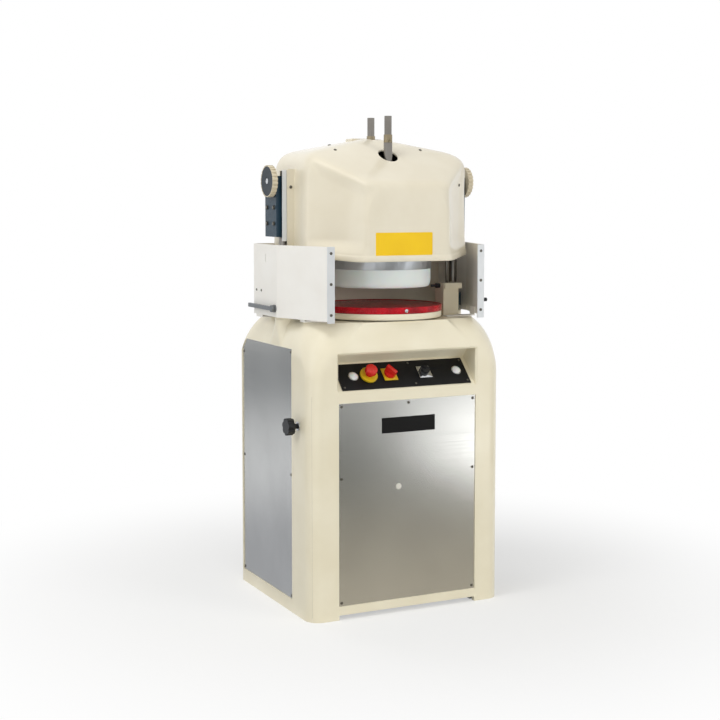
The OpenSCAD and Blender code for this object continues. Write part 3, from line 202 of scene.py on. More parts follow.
# %% Brushed, ground, turned and plated metals
metal = {
    # A broad, soft mirror of the room with faint level lines
    "stainless": surface("stainless_sheet_brushed", "#d2d2cf", "#c9c9c6", (0.22, 0.25), 3.0, 0.0001,
                         mottle=260.0, stretch=(0.008, 0.008, 1.0), Metallic=1.0),
    # Warm grey, with a small glint on each head
    "steel_screws": surface("screw_steel_nickel_plated", "#77746c", "#68655e", (0.25, 0.45), 1.2, 0.02,
                            Metallic=1.0),
    # Nearly a mirror
    "bright_trim": surface("brass_bright_chromed", "#d5d6d8", "#c9cbce", (0.1, 0.2), 1.0, 0.004,
                           Metallic=1.0),
    # Grey with the lines of the mill and brown stains
    "plain_steel": surface("mild_steel_milled", "#7f8284", "#6f7274", (0.35, 0.55), 1.4, 0.03,
                           stretch=(1.0, 0.15, 1.0), soil="#4a4540", Metallic=1.0),
    # Fine lines and a clear sheen
    "bearing_steel": surface("tool_steel_ground", "#a8aaad", "#989b9e", (0.2, 0.34), 1.0, 0.008,
                             stretch=(0.15, 1.0, 1.0), Metallic=1.0),
    # An even grey with one long highlight down each rod
    "hard_chrome": surface("steel_ground_hard_chromed", "#8f8b85", "#837f79", (0.28, 0.33), 2.5, 0.001,
                           Metallic=1.0),
    # Rings left by the turning tool
    "holder_aluminium": surface("aluminium_turned", "#d3d8de", "#c6cbd2", (0.36, 0.5), 1.0, 0.01,
                                stretch=(1.0, 1.0, 4.0), Metallic=1.0),
    # Pale and satin, nearly white where it faces the light
    "strip_aluminium": surface("aluminium_strip_anodised", "#e9ebec", "#dfe2e4", (0.4, 0.5), 1.2, 0.01,
                               stretch=(1.0, 1.0, 0.05), Metallic=1.0),
    # A dull grey with lines along the bar
    "latch_steel": surface("flat_steel_zinc_plated", "#8e9194", "#7d8083", (0.3, 0.46), 1.2, 0.015,
                           stretch=(1.0, 0.1, 1.0), Metallic=1.0),
    # Brown and satin with turned rings
    "collar_brass": surface("brass_turned", "#a2967e", "#93876f", (0.26, 0.4), 0.8, 0.01,
                            stretch=(1.0, 1.0, 4.0), Metallic=1.0),
}
print(len(metal), "metals")

# %% [markdown]
# ## Plastics and rubber
#
# Control parts are moulded in gloss ABS or acrylic, knobs in black phenolic, whose skin is a little
# cloudy. The pressing ring is turned from white acetal: light goes a few millimetres into it, so it glows
# where it is thin. The moulding plate is a thick red board with a polished face that mirrors what hangs
# over it.

# %% Moulded, turned and cast plastics
plastic = {
    # A flat black that mirrors very little
    "black_plate": surface("aluminium_plate_black_lacquered", "#070708", "#050506", (0.42, 0.55), 1.0, 0.01,
                           IOR=1.5, Specular_IOR_Level=0.25),
    # Black with a cloudy sheen on its edges
    "black_plastic": surface("phenolic_black_moulded", "#0e1016", "#0a0c11", (0.3, 0.42), 1.6, 0.02, IOR=1.6,
                             Specular_IOR_Level=0.35),
    # A clear warm yellow with a moulded gloss
    "yellow_plastic": surface("abs_yellow_moulded", "#e2bf22", "#d8b31a", (0.28, 0.4), 1.2, 0.015, IOR=1.53),
    # Milky, with light inside its edges
    "white_plastic": surface("acrylic_white_moulded", "#efefed", "#e6e6e4", (0.1, 0.2), 2.0, 0.006, IOR=1.49,
                             Subsurface_Weight=0.3, Subsurface_Scale=0.004),
    # A glossy signal red
    "red_plastic": surface("abs_red_moulded", "#d7281f", "#c9211a", (0.18, 0.3), 1.5, 0.01, IOR=1.53),
    # Dull black with a powdery grain
    "belt_rubber": surface("neoprene_belt_moulded", "#161616", "#1c1b1a", (0.6, 0.8), 1.5, 0.05, IOR=1.52),
    # A waxy off-white
    "slide_plastic": surface("acetal_natural_turned", "#dcd9cf", "#d2cfc4", (0.35, 0.5), 1.0, 0.01,
                             IOR=1.48),
    # Deep red, mottled by use, with a soft mirror of the ring above
    "red_plate": surface("red_board_polished", "#c30f20", "#8f0a18", (0.2, 0.34), 4.0, 0.01, mottle=45.0,
                         IOR=1.45, Specular_IOR_Level=0.3),
    # A white that glows a little where it is thin
    "ring_plastic": surface("acetal_white_turned", "#edf1ee", "#e4ebe8", (0.28, 0.4), 1.2, 0.01, IOR=1.48,
                            stretch=(1.0, 1.0, 3.0), Subsurface_Weight=0.35, Subsurface_Scale=0.006),
    # A flat slate grey
    "wheel_grey": surface("slate_enamel_on_turned_disc", "#3b4248", "#343a40", (0.55, 0.7), 1.4, 0.02,
                          IOR=1.5),
    # Beige with the satin skin of a mould
    "wheel_rim": surface("beige_phenolic_moulded_rim", "#d8cdb4", "#cbbfa4", (0.35, 0.48), 1.6, 0.02,
                         IOR=1.55),
    # An even satin yellow
    "yellow_film": surface("yellow_sheet_lacquered", "#f8cc0a", "#f2c306", (0.4, 0.5), 1.8, 0.01, IOR=1.5),
}
finishes = {**paint, **metal, **plastic}
for name, node in nodes.items():
    node.data.materials.clear()
    node.data.materials.append(finishes[slot_of[name]])
print(len(finishes), "finishes on", len(nodes), "nodes")

# %% [markdown]
# ## Softened edges on the CAD pieces
#
# A CAD edge is perfectly sharp, and no real edge is: a broken edge catches a thin line of light, which
# makes a piece look solid. The nodes listed below get a weld, because the imported mesh is split at its
# edges, and then a small bevel. Modifiers leave the CAD mesh itself alone.

# %% Ease the edges of the listed nodes
WELD_GAP, NODE_ANGLE = 0.02, 35.0
EASED = {
    "front_panel": 0.6, "left_panel": 0.6, "right_panel": 0.6, "nameplate": 0.5,
    "control_plate": 0.6, "control_bezels": 0.6, "yellow_backplates": 0.8, "main_switch": 1.0,
    "timer_knob": 1.0, "side_knob": 1.8, "guard_knob": 0.8, "cable_gland": 0.8, "column_bushes": 1.0,
    "column_blocks": 1.5, "columns": 0.8, "press_rods": 0.8, "rod_collars": 0.6, "guards": 0.5,
    "guard_strips": 0.5, "latch_lever": 1.2, "latch_pivot": 0.8, "pedestal": 1.5, "position_sensor": 0.8,
    "guide_pin": 0.5, "rear_guard": 0.5, "table_carrier": 1.5, "slide_ring": 0.5, "base_frame": 1.5,
    "ring_holder": 1.0, "head_beam": 1.5, "plunger_plate": 0.8, "dividing_knife": 0.2, "plungers": 0.5,
}


def break_edges(piece, width, angle):
    """Bevel the edges of a piece that turn by more than an angle; the width is in mm."""
    bevel = piece.modifiers.new("broken_edge", "BEVEL")
    bevel.width = width * MM
    bevel.segments = 2
    bevel.limit_method = "ANGLE"
    bevel.angle_limit = math.radians(angle)
    bevel.harden_normals = True


for name, width in EASED.items():
    weld = nodes[name].modifiers.new("weld", "WELD")
    weld.merge_threshold = WELD_GAP * MM
    break_edges(nodes[name], width, NODE_ANGLE)
print(len(EASED), "nodes with broken edges")

# %% [markdown]
# ## Helpers for new pieces
#
# A new piece is a mesh with a finish that rides on a CAD body. Round pieces are turned from a profile, as
# on a lathe, and flat ones are cut from an outline. Blender's own cylinder and cube would do for the
# plainest of them, but a profile holds the small radii that catch the light.


# %% Make a piece, and turn or cut its shape
def make(name, points, faces, slot, body, sharp=35.0):
    """Build a mesh piece from points in mm, smooth up to the sharp angle, riding on a body."""
    mesh = bpy.data.meshes.new(name)
    mesh.from_pydata([Vector(p) * MM for p in points], [], faces)
    mesh.polygons.foreach_set("use_smooth", [True] * len(mesh.polygons))
    mesh.set_sharp_from_angle(angle=math.radians(sharp))
    mesh.materials.append(finishes[slot])
    piece = bpy.data.objects.new(name, mesh)
    scene.collection.objects.link(piece)
    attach(piece, body)
    return piece


def facing(direction, at):
    """Matrix that puts a piece drawn along +Z along a direction, at a point in mm."""
    swing = Vector((0, 0, 1)).rotation_difference(Vector(direction))
    return Matrix.Translation(Vector(at)) @ swing.to_matrix().to_4x4()


def turned(profile, place=Matrix(), steps=72):
    """Points and faces of a profile of (radius, height) turned round an axis; it may end on the axis."""
    points, faces, rings = [], [], []
    for radius, height in profile:
        if radius < 1e-6:
            rings.append([len(points)] * steps)
            points.append(place @ Vector((0, 0, height)))
        else:
            rings.append(list(range(len(points), len(points) + steps)))
            turn = [2 * math.pi * k / steps for k in range(steps)]
            points += [place @ Vector((radius * math.cos(a), radius * math.sin(a), height)) for a in turn]
    for low, high in zip(rings, rings[1:]):
        for k in range(steps):
            loop = [low[k], low[(k + 1) % steps], high[(k + 1) % steps], high[k]]
            faces.append(list(dict.fromkeys(loop)))
    return points, faces


def rod(radius, low, high, place=Matrix(), steps=48):
    """Points and faces of a plain round bar, which also serves as a drill."""
    return turned([(0, low), (radius, low), (radius, high), (0, high)], place, steps)


def cut_from(outline, low, high, place=Matrix()):
    """Points and faces of a flat outline with a thickness from low to high."""
    count = len(outline)
    points = [place @ Vector((x, y, z)) for z in (low, high) for x, y in outline]
    faces = [list(range(count))[::-1], list(range(count, 2 * count))]
    faces += [[k, (k + 1) % count, count + (k + 1) % count, count + k] for k in range(count)]
    return points, faces


def box_of(low, high):
    """Points and faces of a box between two corners."""
    (a, b, c), (d, e, f) = low, high
    return cut_from([(a, b), (d, b), (d, e), (a, e)], c, f)


# %% [markdown]
# ## Helpers for shells
#
# The cabinet and the hood are shells: rows of points joined by faces, then carved with cutters, as a mill
# would. Each cut is applied at once, so that the next one meets a plain mesh.

# %% Join rows of points, blend values and carve
CARVED_ANGLE = 40.0


def row_faces(rows, wide):
    """Four-sided faces between closed rows of points that follow each other."""
    return [[r * wide + k, r * wide + (k + 1) % wide, (r + 1) * wide + (k + 1) % wide, (r + 1) * wide + k]
            for r in range(rows - 1) for k in range(wide)]


def tip_faces(first, wide):
    """Three-sided faces from the last row of points to the single point that follows it."""
    return [[first + k, first + (k + 1) % wide, first + wide] for k in range(wide)]


def smooth(value, low, high):
    """Soft step from 0 at low to 1 at high."""
    t = min(max((value - low) / (high - low), 0.0), 1.0)
    return t * t * (3 - 2 * t)


def soft_max(a, b, soft):
    """The larger of two values, with a round join where they are nearly the same."""
    gap = max(soft - abs(a - b), 0.0) / soft
    return max(a, b) + gap * gap * soft / 4


def bake(piece):
    """Apply the modifiers of a piece to its mesh."""
    graph = bpy.context.evaluated_depsgraph_get()
    mesh = bpy.data.meshes.new_from_object(piece.evaluated_get(graph))
    old = piece.data
    piece.modifiers.clear()
    piece.data = mesh
    bpy.data.meshes.remove(old)


def carve(piece, cutters, edge):
    """Cut shapes out of a piece, then break its new edges."""
    for points, faces in cutters:
        mesh = bpy.data.meshes.new("cutter")
        mesh.from_pydata([Vector(p) * MM for p in points], [], faces)
        cutter = bpy.data.objects.new("cutter", mesh)
        scene.collection.objects.link(cutter)
        cut = piece.modifiers.new("cut", "BOOLEAN")
        cut.object = cutter
        cut.solver = "EXACT"
        bake(piece)
        bpy.data.objects.remove(cutter)
        bpy.data.meshes.remove(mesh)
    break_edges(piece, edge, CARVED_ANGLE)


# %% [markdown]
# ## Cabinet
#
# The cabinet is a deep body with rounded front corners. Its shoulders round over to the top, its front
# rolls back under the guards, and a sloping bib stands out of that roll between the control recess and
# the table, with a soft valley on each side. It could be sculpted or built of CAD rounds, but a stack of
# level outlines shows how each height is shaped: the front edge at a height is the smooth maximum of the
# roll and the bib.

# %% Sizes of the cabinet
CAB_X, CAB_Y, CAB_H = box_mm("cabinet_shell")[1]
column_low, column_high = box_mm("columns")
COLUMN_Y = (column_low[1] + column_high[1]) / 2
COLUMN_X = column_high[0] - (column_high[1] - column_low[1]) / 2
# Shoulders and front roll are arcs that end before they are level
SHOULDER_R, ROLL_R = 150.0, 130.0
SHOULDER, FRONT_ROLL = SHOULDER_R * math.sin(math.radians(45)), ROLL_R * math.sin(math.radians(50))
# The bib's foot, its half width there, and how it narrows and leans back on its way up
BIB_Z, BIB_HALF, BIB_TAPER, BIB_LEAN, BIB_FLANK = 812.0, 238.0, 92.0, 23.0, 1.1
# Front corners that widen from one height to another, and the slope at the top of the rear
CORNER, CORNER_TOP, CORNER_GROWS = 46.0, 100.0, (740, 860)
REAR_CORNER, REAR_RUN, REAR_RISE = 12.0, 95.0, 125.0
BOSS_R, BOSS_FLARE, BOSS_REACH = 28.5, 46.0, 70.0
FRONT_BLEND, BOSS_BLEND = 9.0, 14.0
print("cabinet", 2 * CAB_X, "x", 2 * CAB_Y, "x", CAB_H, "mm")


# %% Level outlines of the cabinet
def front_edge(x, z):
    """How far the cabinet's front stands at a place: the roll, or the bib where that is further out."""
    lean = math.asin(max(z - CAB_H + FRONT_ROLL, 0.0) / ROLL_R)
    roll = CAB_Y - ROLL_R * (1 - math.cos(lean))
    rise = (z - BIB_Z) / (CAB_H - BIB_Z)
    half = BIB_HALF - BIB_TAPER * max(rise, 0.0)
    bib = CAB_Y - BIB_LEAN * rise - BIB_FLANK * max(abs(x) - half, 0.0)
    return min(soft_max(roll, bib, FRONT_BLEND), CAB_Y)


def side_edge(half, y, z):
    """How far the side stands at a place: the shoulder, or a column's boss, which flares at its foot."""
    flare = BOSS_R + BOSS_FLARE * ((CAB_H - z) / SHOULDER) ** 2
    span = flare ** 2 - (y - COLUMN_Y) ** 2
    boss = 0.0
    if span > 0 and z > CAB_H - SHOULDER:
        boss = min(COLUMN_X + math.sqrt(span), COLUMN_X + BOSS_R)
    return min(soft_max(half, boss, BOSS_BLEND), CAB_X)


def outline_at(z):
    """Outline of the cabinet at a height, from the front's left end round by the right."""
    lean = math.asin(max(z - CAB_H + SHOULDER, 0.0) / SHOULDER_R)
    half = CAB_X - SHOULDER_R * (1 - math.cos(lean))
    corner = CORNER + (CORNER_TOP - CORNER) * smooth(z, *CORNER_GROWS)
    rear = CAB_Y - REAR_RUN * max((z - CAB_H + REAR_RISE) / REAR_RISE, 0.0)
    inner = half - corner
    turn = -front_edge(inner, z) + corner
    line = [(inner * t / 40, -front_edge(inner * t / 40, z)) for t in range(-40, 41)]
    arc = [math.radians(a) for a in range(-80, 1, 10)]
    right = [(inner + corner * math.cos(a), turn + corner * math.sin(a)) for a in arc]
    # Places along the side: few before and behind the column's boss, many on it
    before, behind, end = COLUMN_Y - BOSS_REACH, COLUMN_Y + BOSS_REACH, rear - REAR_CORNER
    spots = [turn + (before - turn) * t / 4 for t in range(1, 4)]
    spots += [COLUMN_Y - BOSS_REACH * math.cos(math.pi * t / 36) for t in range(37)]
    spots += [behind + (end - behind) * t / 5 for t in range(1, 5)]
    side = [(side_edge(half, y, z), y) for y in spots]
    arc = [math.radians(a) for a in range(0, 91, 18)]
    back = [(half - REAR_CORNER * (1 - math.cos(a)), rear - REAR_CORNER * (1 - math.sin(a))) for a in arc]
    half_round = right + side + back
    return line + half_round + [(-x, y) for x, y in reversed(half_round)]


# %% Stack the outlines
shoulder_turns = [math.radians(a) for a in (*range(0, 41, 5), *range(46, 77, 6), 83, 90)]
levels = [0, 20, 60, *range(100, 741, 40), *range(750, 791, 10)]
levels += [CAB_H - SHOULDER + SHOULDER * math.sin(a) for a in shoulder_turns]
rows = [outline_at(z) for z in levels]
wide = len(rows[0])
cab_points = [(x, y, z) for row, z in zip(rows, levels) for x, y in row]
cab_faces = row_faces(len(rows), wide)
cab_faces += [list(range(wide))[::-1], list(range(len(cab_points) - wide, len(cab_points)))]
cabinet = make("cabinet", cab_points, cab_faces, "cream_enamel", "base", 30)
print("cabinet of", len(levels), "levels with", wide, "points each")

# %% [markdown]
# ## Openings of the cabinet
#
# The panels sit in shallow seats, so their faces lie a little behind the enamel. The control recess is a
# slanted pocket with a roof, and the works need their space inside. All of these are cut out of the body,
# in the order in which a pattern maker would think of them: the hollow first, then the seats and bores.

# %% Rooms inside and seats of the panels
UPRIGHT = Matrix(((0, 0, 1, 0), (1, 0, 0, 0), (0, 1, 0, 0), (0, 0, 0, 1)))
OUT, SEAT_GAP, PANEL_CUT = 15.0, 0.5, 34.0
# Half width, front, rear, floor and ceiling of each room, from the feet up
ROOMS = [(322, -270, 272, -20, 690), (322, -185, 240, 680, 800), (296, -185, 196, 790, 868),
         (262, -185, 178, 860, 893)]
cutters = [box_of((-half, front, floor), (half, rear, roof)) for half, front, rear, floor, roof in ROOMS]
low, high = box_mm("front_panel")
cutters.append(box_of((low[0], -CAB_Y - OUT, low[2]), (high[0], high[1] + SEAT_GAP, high[2])))
low, high = box_mm("rear_panel")
cutters.append(box_of((low[0], low[1] - SEAT_GAP, low[2]), (high[0], CAB_Y + OUT, high[2])))
low, high = box_mm("right_panel")
side_panel = [(low[1], low[2]), (high[1], low[2]), (high[1], high[2] - PANEL_CUT),
              (high[1] - PANEL_CUT, high[2]), (low[1], high[2])]
cutters.append(cut_from(side_panel, low[0] - SEAT_GAP, CAB_X + OUT, UPRIGHT))
cutters.append(cut_from(side_panel, -CAB_X - OUT, SEAT_GAP - low[0], UPRIGHT))
print(len(cutters), "rooms and seats")

# %% Recess of the controls, foot gap and bores
# The recess has a floor at 45 degrees, given by its middle and half its run
FLOOR_Y, FLOOR_Z, FLOOR_RUN = -243.7, 737.7, 41.0
RECESS_HALF, RECESS_TOP = 239.0, 812.0
# The flare starts a little inside the pocket's edge and opens at 45 degrees
FLARE_Y, FLARE_FOOT, FLARE_INSET, FLARE = -278.0, 704.0, 1.0, 14.0
near, far = (FLOOR_Y - FLOOR_RUN, FLOOR_Z - FLOOR_RUN), (FLOOR_Y + FLOOR_RUN, FLOOR_Z + FLOOR_RUN)
outside = -CAB_Y - OUT
recess = [near, far, (far[0] - (RECESS_TOP - far[1]), RECESS_TOP), (outside, RECESS_TOP),
          (outside, near[1] + near[0] - outside)]
cutters.append(cut_from(recess, -RECESS_HALF, RECESS_HALF, UPRIGHT))
flare = []
for grow in (FLARE, 0.0):
    half, top = RECESS_HALF - FLARE_INSET + grow, RECESS_TOP - FLARE_INSET + grow
    corners = ((-half, FLARE_FOOT), (half, FLARE_FOOT), (half, top), (-half, top))
    flare += [(x, FLARE_Y - grow, z) for x, z in corners]
cutters.append((flare, [[0, 1, 2, 3], [7, 6, 5, 4], [0, 4, 5, 1], [1, 5, 6, 2], [2, 6, 7, 3], [3, 7, 4, 0]]))
FOOT_HALF, FOOT_GAP, FOOT_DEPTH = 238.0, 15.0, -260.0
cutters.append(box_of((-FOOT_HALF, outside, -20), (FOOT_HALF, FOOT_DEPTH, FOOT_GAP)))
BUSH_BORE, SPINDLE_BORE, IDLER_BORE, KNOB_BORE = 23.4, 44.0, 28.0, 8.5
SPINDLE, IDLER, KNOB = (-14, -80, 0), (-14, 40, 0), (-CAB_X, -194, 592)
BUSH_FROM, TOP_FROM, ABOVE_TOP = 700, 880, 950
for x in (COLUMN_X, -COLUMN_X):
    cutters.append(rod(BUSH_BORE, BUSH_FROM, ABOVE_TOP, Matrix.Translation((x, COLUMN_Y, 0))))
cutters.append(rod(SPINDLE_BORE, TOP_FROM, ABOVE_TOP, Matrix.Translation(SPINDLE)))
cutters.append(rod(IDLER_BORE, TOP_FROM, ABOVE_TOP, Matrix.Translation(IDLER)))
cutters.append(rod(KNOB_BORE, -20, 30, facing((-1, 0, 0), KNOB), 32))
carve(cabinet, cutters, 1.6)
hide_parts("cabinet_shell")
print("cabinet carved,", len(cabinet.data.polygons), "faces")

# %% [markdown]
# ## Hood
#
# The hood is one glass-fibre moulding: a front face like a shield, two slanting cheeks pressed in a
# little, and a crown that rolls back over the works. Its flat faces meet in wide soft edges. A ray from
# the middle of its mouth meets the nearest flat face at some distance, and those distances, blurred a
# little, give a surface with rounded edges and no bevels to repair. The cheeks are then pressed in
# outside the shield, and a bead is rolled round the lip. The inside gets a dark matt lining, painted
# shade that stands in for the shadow seen through the slots, so that they look deep.

# %% Faces of the hood, seen from its mouth
hood_low, hood_high = box_mm("hood")
MOUTH = np.array((0, -80, hood_low[2]))
FACE_Y, FACE_HALF, SIDE_X, SIDES = -282, 146, 286, (-1, 1)
BROW, CROWN_Z, RIDGE_Y = (0, -283, 1327), 1478, 5
EAVE_X, EAVE_Z, EAVE_R = 215, 1365, 71
# Each face is a point on it and the direction that it looks to
WALLS = [((0, FACE_Y, MOUTH[2]), (0, -1, 0.004)), ((0, hood_high[1], MOUTH[2]), (0, 1, 0))]
ROOF = [(BROW, (0, -0.62, 1)), ((0, RIDGE_Y, CROWN_Z), (0, 0.45, 1))]
for side in SIDES:
    WALLS += [((side * SIDE_X, 0, MOUTH[2]), (side, 0, 0.01))]
    WALLS += [((side * FACE_HALF, FACE_Y, MOUTH[2]), (side, -1, 0.01))]
    ROOF += [((0, 0, CROWN_Z), (side * 43, 0, 215))]
    for lean in (22.5, 45.0, 67.5):
        across, up = math.cos(math.radians(lean)), math.sin(math.radians(lean))
        ROOF += [((side * (EAVE_X + EAVE_R * across), 0, EAVE_Z + EAVE_R * up), (side * across, 0, up))]
print(len(WALLS), "walls and", len(ROOF), "roof faces")


# %% Sample the faces and blur their edges
def reach_of(planes, rays):
    """Distance along each ray from the mouth to the nearest of the planes."""
    best = np.full(rays.shape[:-1], 1e4)
    for point, normal in planes:
        toward = rays @ np.array(normal)
        gap = np.dot(normal, np.array(point) - MOUTH)
        best = np.minimum(best, np.where(toward > 1e-4, gap / np.maximum(toward, 1e-4), 1e4))
    return best


ROUND, STEP, SOFT = 480, math.radians(0.75), math.radians(2.4)
BELOW, ABOVE, PAST_TOP, BLUR = 20, 120, 20, 16
turns = np.arange(ROUND) * 2 * math.pi / ROUND
climbs = np.arange(-BELOW, ABOVE + 1) * STEP
tilt, swing = np.meshgrid(climbs, turns, indexing="ij")
rays = np.stack([np.cos(swing) * np.cos(tilt), np.sin(swing) * np.cos(tilt), np.sin(tilt)], axis=-1)
wall_reach, roof_reach = reach_of(WALLS, rays), reach_of(ROOF, rays)
skin = np.minimum(wall_reach, roof_reach)
# Blur each ring, wider near the top where its points crowd, then each line over the top
for row, climb in enumerate(climbs):
    spread = SOFT / max(math.cos(climb), 0.15)
    waves = np.fft.rfft(skin[row]) * np.exp(-(np.arange(ROUND // 2 + 1) * spread) ** 2 / 2)
    skin[row] = np.fft.irfft(waves, ROUND)
over = np.concatenate([skin, np.roll(skin[-2:-2 - PAST_TOP:-1], ROUND // 2, axis=1)])
bell = np.exp(-(np.arange(-BLUR, BLUR + 1) * STEP / SOFT) ** 2 / 2)
for column in range(ROUND):
    skin[:, column] = np.convolve(over[:, column], bell / bell.sum(), "same")[:len(climbs)]
print("hood skin sampled at", skin.size, "rays")

# %% Press the cheeks and roll the lip
# The shield ends in an arch, outside which the cheeks lie deeper
ARCH_HALF, ARCH_Z, ARCH_R = 35, 1222, 105
PRESS_DEPTH, PRESS_END, PRESS_FOOT = 15, 350, (1108, 1160)
ARCH_SOFT, END_SOFT, BROW_SOFT = (100, 5), (70, 20), (36, 6)
# The press stays on the front half, and its upper end follows the roof's edge at about this distance
FRONT_HALF, BROW_SCALE, BROW_GAP, CHEEK_SLANT = -100, 300, 4, 1.414
LIP_Z, LIP_HALF, LIP_OUT = 1099, 9.5, 2.6
# Behind the face the lip is a little higher
LIP_RISE, RISE_FROM, RISE_FADES = 11, (-275, -150), (1100, 1190)


def crisp(value, width, soft):
    """Rise from 0 to 1 over a width: a short soft start, steep, then flat, as a pressed hollow does."""
    t = min(max(value / width, 0.0), 1.0)
    return (1 - (1 - t) ** 2) * smooth(value, 0, soft)


def hood_point(row, column):
    """Point of the hood's skin on one of the rays; rows between the sampled ones are blended."""
    low = min(int(row), len(climbs) - 2)
    part = row - low
    wall, roof, reach = (grid[low, column] * (1 - part) + grid[low + 1, column] * part
                         for grid in (wall_reach, roof_reach, skin))
    climb, turn = (row - BELOW) * STEP, turns[column]
    ray = np.array((math.cos(turn) * math.cos(climb), math.sin(turn) * math.cos(climb), math.sin(climb)))
    x, y, z = MOUTH + ray * reach
    # Place on the unrolled front: along the face, then along the cheek at 45 degrees
    along = min(abs(x), FACE_HALF) + max(abs(x) - FACE_HALF, 0.0) * CHEEK_SLANT
    if y < FRONT_HALF:
        arch = math.hypot(max(along - ARCH_HALF, 0.0), max(z - ARCH_Z, 0.0)) - ARCH_R
        below = (roof / wall - 1) * BROW_SCALE - BROW_GAP
        press = crisp(arch, *ARCH_SOFT) * crisp(PRESS_END - along, *END_SOFT) * crisp(below, *BROW_SOFT)
        reach -= PRESS_DEPTH * press * smooth(z, *PRESS_FOOT)
    reach += LIP_OUT * math.sqrt(max(1 - ((z - LIP_Z) / LIP_HALF) ** 2, 0.0))
    x, y, z = MOUTH + ray * reach
    return x, y, z + LIP_RISE * smooth(y, *RISE_FROM) * (1 - smooth(z, *RISE_FADES))


# %% Make the moulding and cut its slots and holes
SHELL, HOLE_R = 4, 31
SLOT_X, SLOT_Y, SLOT_Z = (250, 320), (-52, 60), (1110, 1370)
ROD_YS, HOLE_Z = (-140, -20), (1300, 1600)
# Rows of points: close together on the lip's bead, then one on each sampled ray
BEAD_ROWS, BEAD_STEP = 16, 0.6
heights = [BELOW + BEAD_STEP * k for k in range(BEAD_ROWS)] + list(range(30, BELOW + ABOVE))
hood_points = [hood_point(h, c) for h in heights for c in range(ROUND)] + [hood_point(BELOW + ABOVE, 0)]
hood_faces = row_faces(len(heights), ROUND) + tip_faces((len(heights) - 1) * ROUND, ROUND)
hood = make("hood_shell", hood_points, hood_faces, "hood_moulding", "head", 60)
wall = hood.modifiers.new("wall", "SOLIDIFY")
wall.thickness = SHELL * MM
wall.offset = -1
# The inner faces get the dark lining: painted shade for the shadowed inside of the hood
hood.data.materials.append(finishes["painted_shade_inside"])
wall.material_offset = 1
bake(hood)


def span(side, near, far):
    """Low and high x of a stretch on the left, -1, or the right, 1."""
    return sorted((side * near, side * far))


slots = []
for low, high in (span(side, *SLOT_X) for side in SIDES):
    slots.append(box_of((low, SLOT_Y[0], SLOT_Z[0]), (high, SLOT_Y[1], SLOT_Z[1])))
holes = [rod(HOLE_R, *HOLE_Z, Matrix.Translation((0, y, 0)), 64) for y in ROD_YS]
carve(hood, slots + holes, 1.2)
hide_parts("hood")
print("hood of", len(hood.data.polygons), "faces")

# %% [markdown]
# ## Trim of the hood
#
# The front edge of each side slot has a turned-out flange, and a strip of bright aluminium stiffens it. A
# plain yellow plate sits on the shield. On the real hood these are sheet pieces held by small screws, so
# they are cut from outlines with a thickness, and their edges are broken with a bevel.

# %% Flanges, strips and the yellow plate
FRONT = Matrix(((1, 0, 0, 0), (0, 0, -1, 0), (0, 1, 0, 0), (0, 0, 0, 1)))
FLANGE_FACE = 57
# Where each sheet lies: across, up, radius of its corners, depth from the middle, finish, edge
FLANGE = ((281, 309), (1104, 1374), 6, (53, FLANGE_FACE), "hood_moulding", 1.0)
STRIP = ((310.5, 325), (1150, 1370), 1.5, (54, 57.5), "strip_aluminium", 0.5)
YELLOW = ((-114, 82), (1109, 1179), 3, (280, 282.8), "yellow_film", 0.4)
BACKING_X, BACKING_Y, BACKING_Z = (303, 324), (-54.2, -52.4), (1156, 1364)
PAD_LOW, PAD_HIGH = (-52, 14, 1446), (34, 62, 1475.5)


def rounded(low, high, radius, steps=6):
    """Outline of a rectangle with round corners."""
    (a, b), (c, d) = low, high
    middles = [(c - radius, b + radius, -90), (c - radius, d - radius, 0), (a + radius, d - radius, 90),
               (a + radius, b + radius, 180)]
    turn = [(x, y, math.radians(start + 90 * k / steps))
            for x, y, start in middles for k in range(steps + 1)]
    return [(x + radius * math.cos(t), y + radius * math.sin(t)) for x, y, t in turn]


def trim(name, side, across, up, radius, depth, slot, edge):
    """A sheet on the front of the hood, mirrored to the left where the side is -1."""
    low, high = span(side, *across)
    sheet = make(name, *cut_from(rounded((low, up[0]), (high, up[1]), radius), *depth, FRONT), slot, "head")
    break_edges(sheet, edge, CARVED_ANGLE)


for side, word in zip(SIDES, ("left", "right")):
    trim("hood_flange_" + word, side, *FLANGE)
    trim("hood_strip_" + word, side, *STRIP)
    low, high = span(side, *BACKING_X)
    backing = box_of((low, BACKING_Y[0], BACKING_Z[0]), (high, BACKING_Y[1], BACKING_Z[1]))
    break_edges(make("hood_strip_back_" + word, *backing, "strip_aluminium", "head"), 0.3, CARVED_ANGLE)
trim("hood_plate", 1, *YELLOW)
pad = make("crown_pad", *box_of(PAD_LOW, PAD_HIGH), "hood_moulding", "head")
break_edges(pad, 3.0, CARVED_ANGLE)
print("flanges, strips, plate and pad on the hood")

# %% [markdown]
# ## Screws
#
# The CAD part has a plain disc for each screw. The real ones are pan heads with a cross recess. Every
# disc is found again as a separate island of the CAD mesh: its middle, its axis (the flattest direction)
# and its size. One screw head is drawn as a height over rings, and copied to all the places in one mesh.


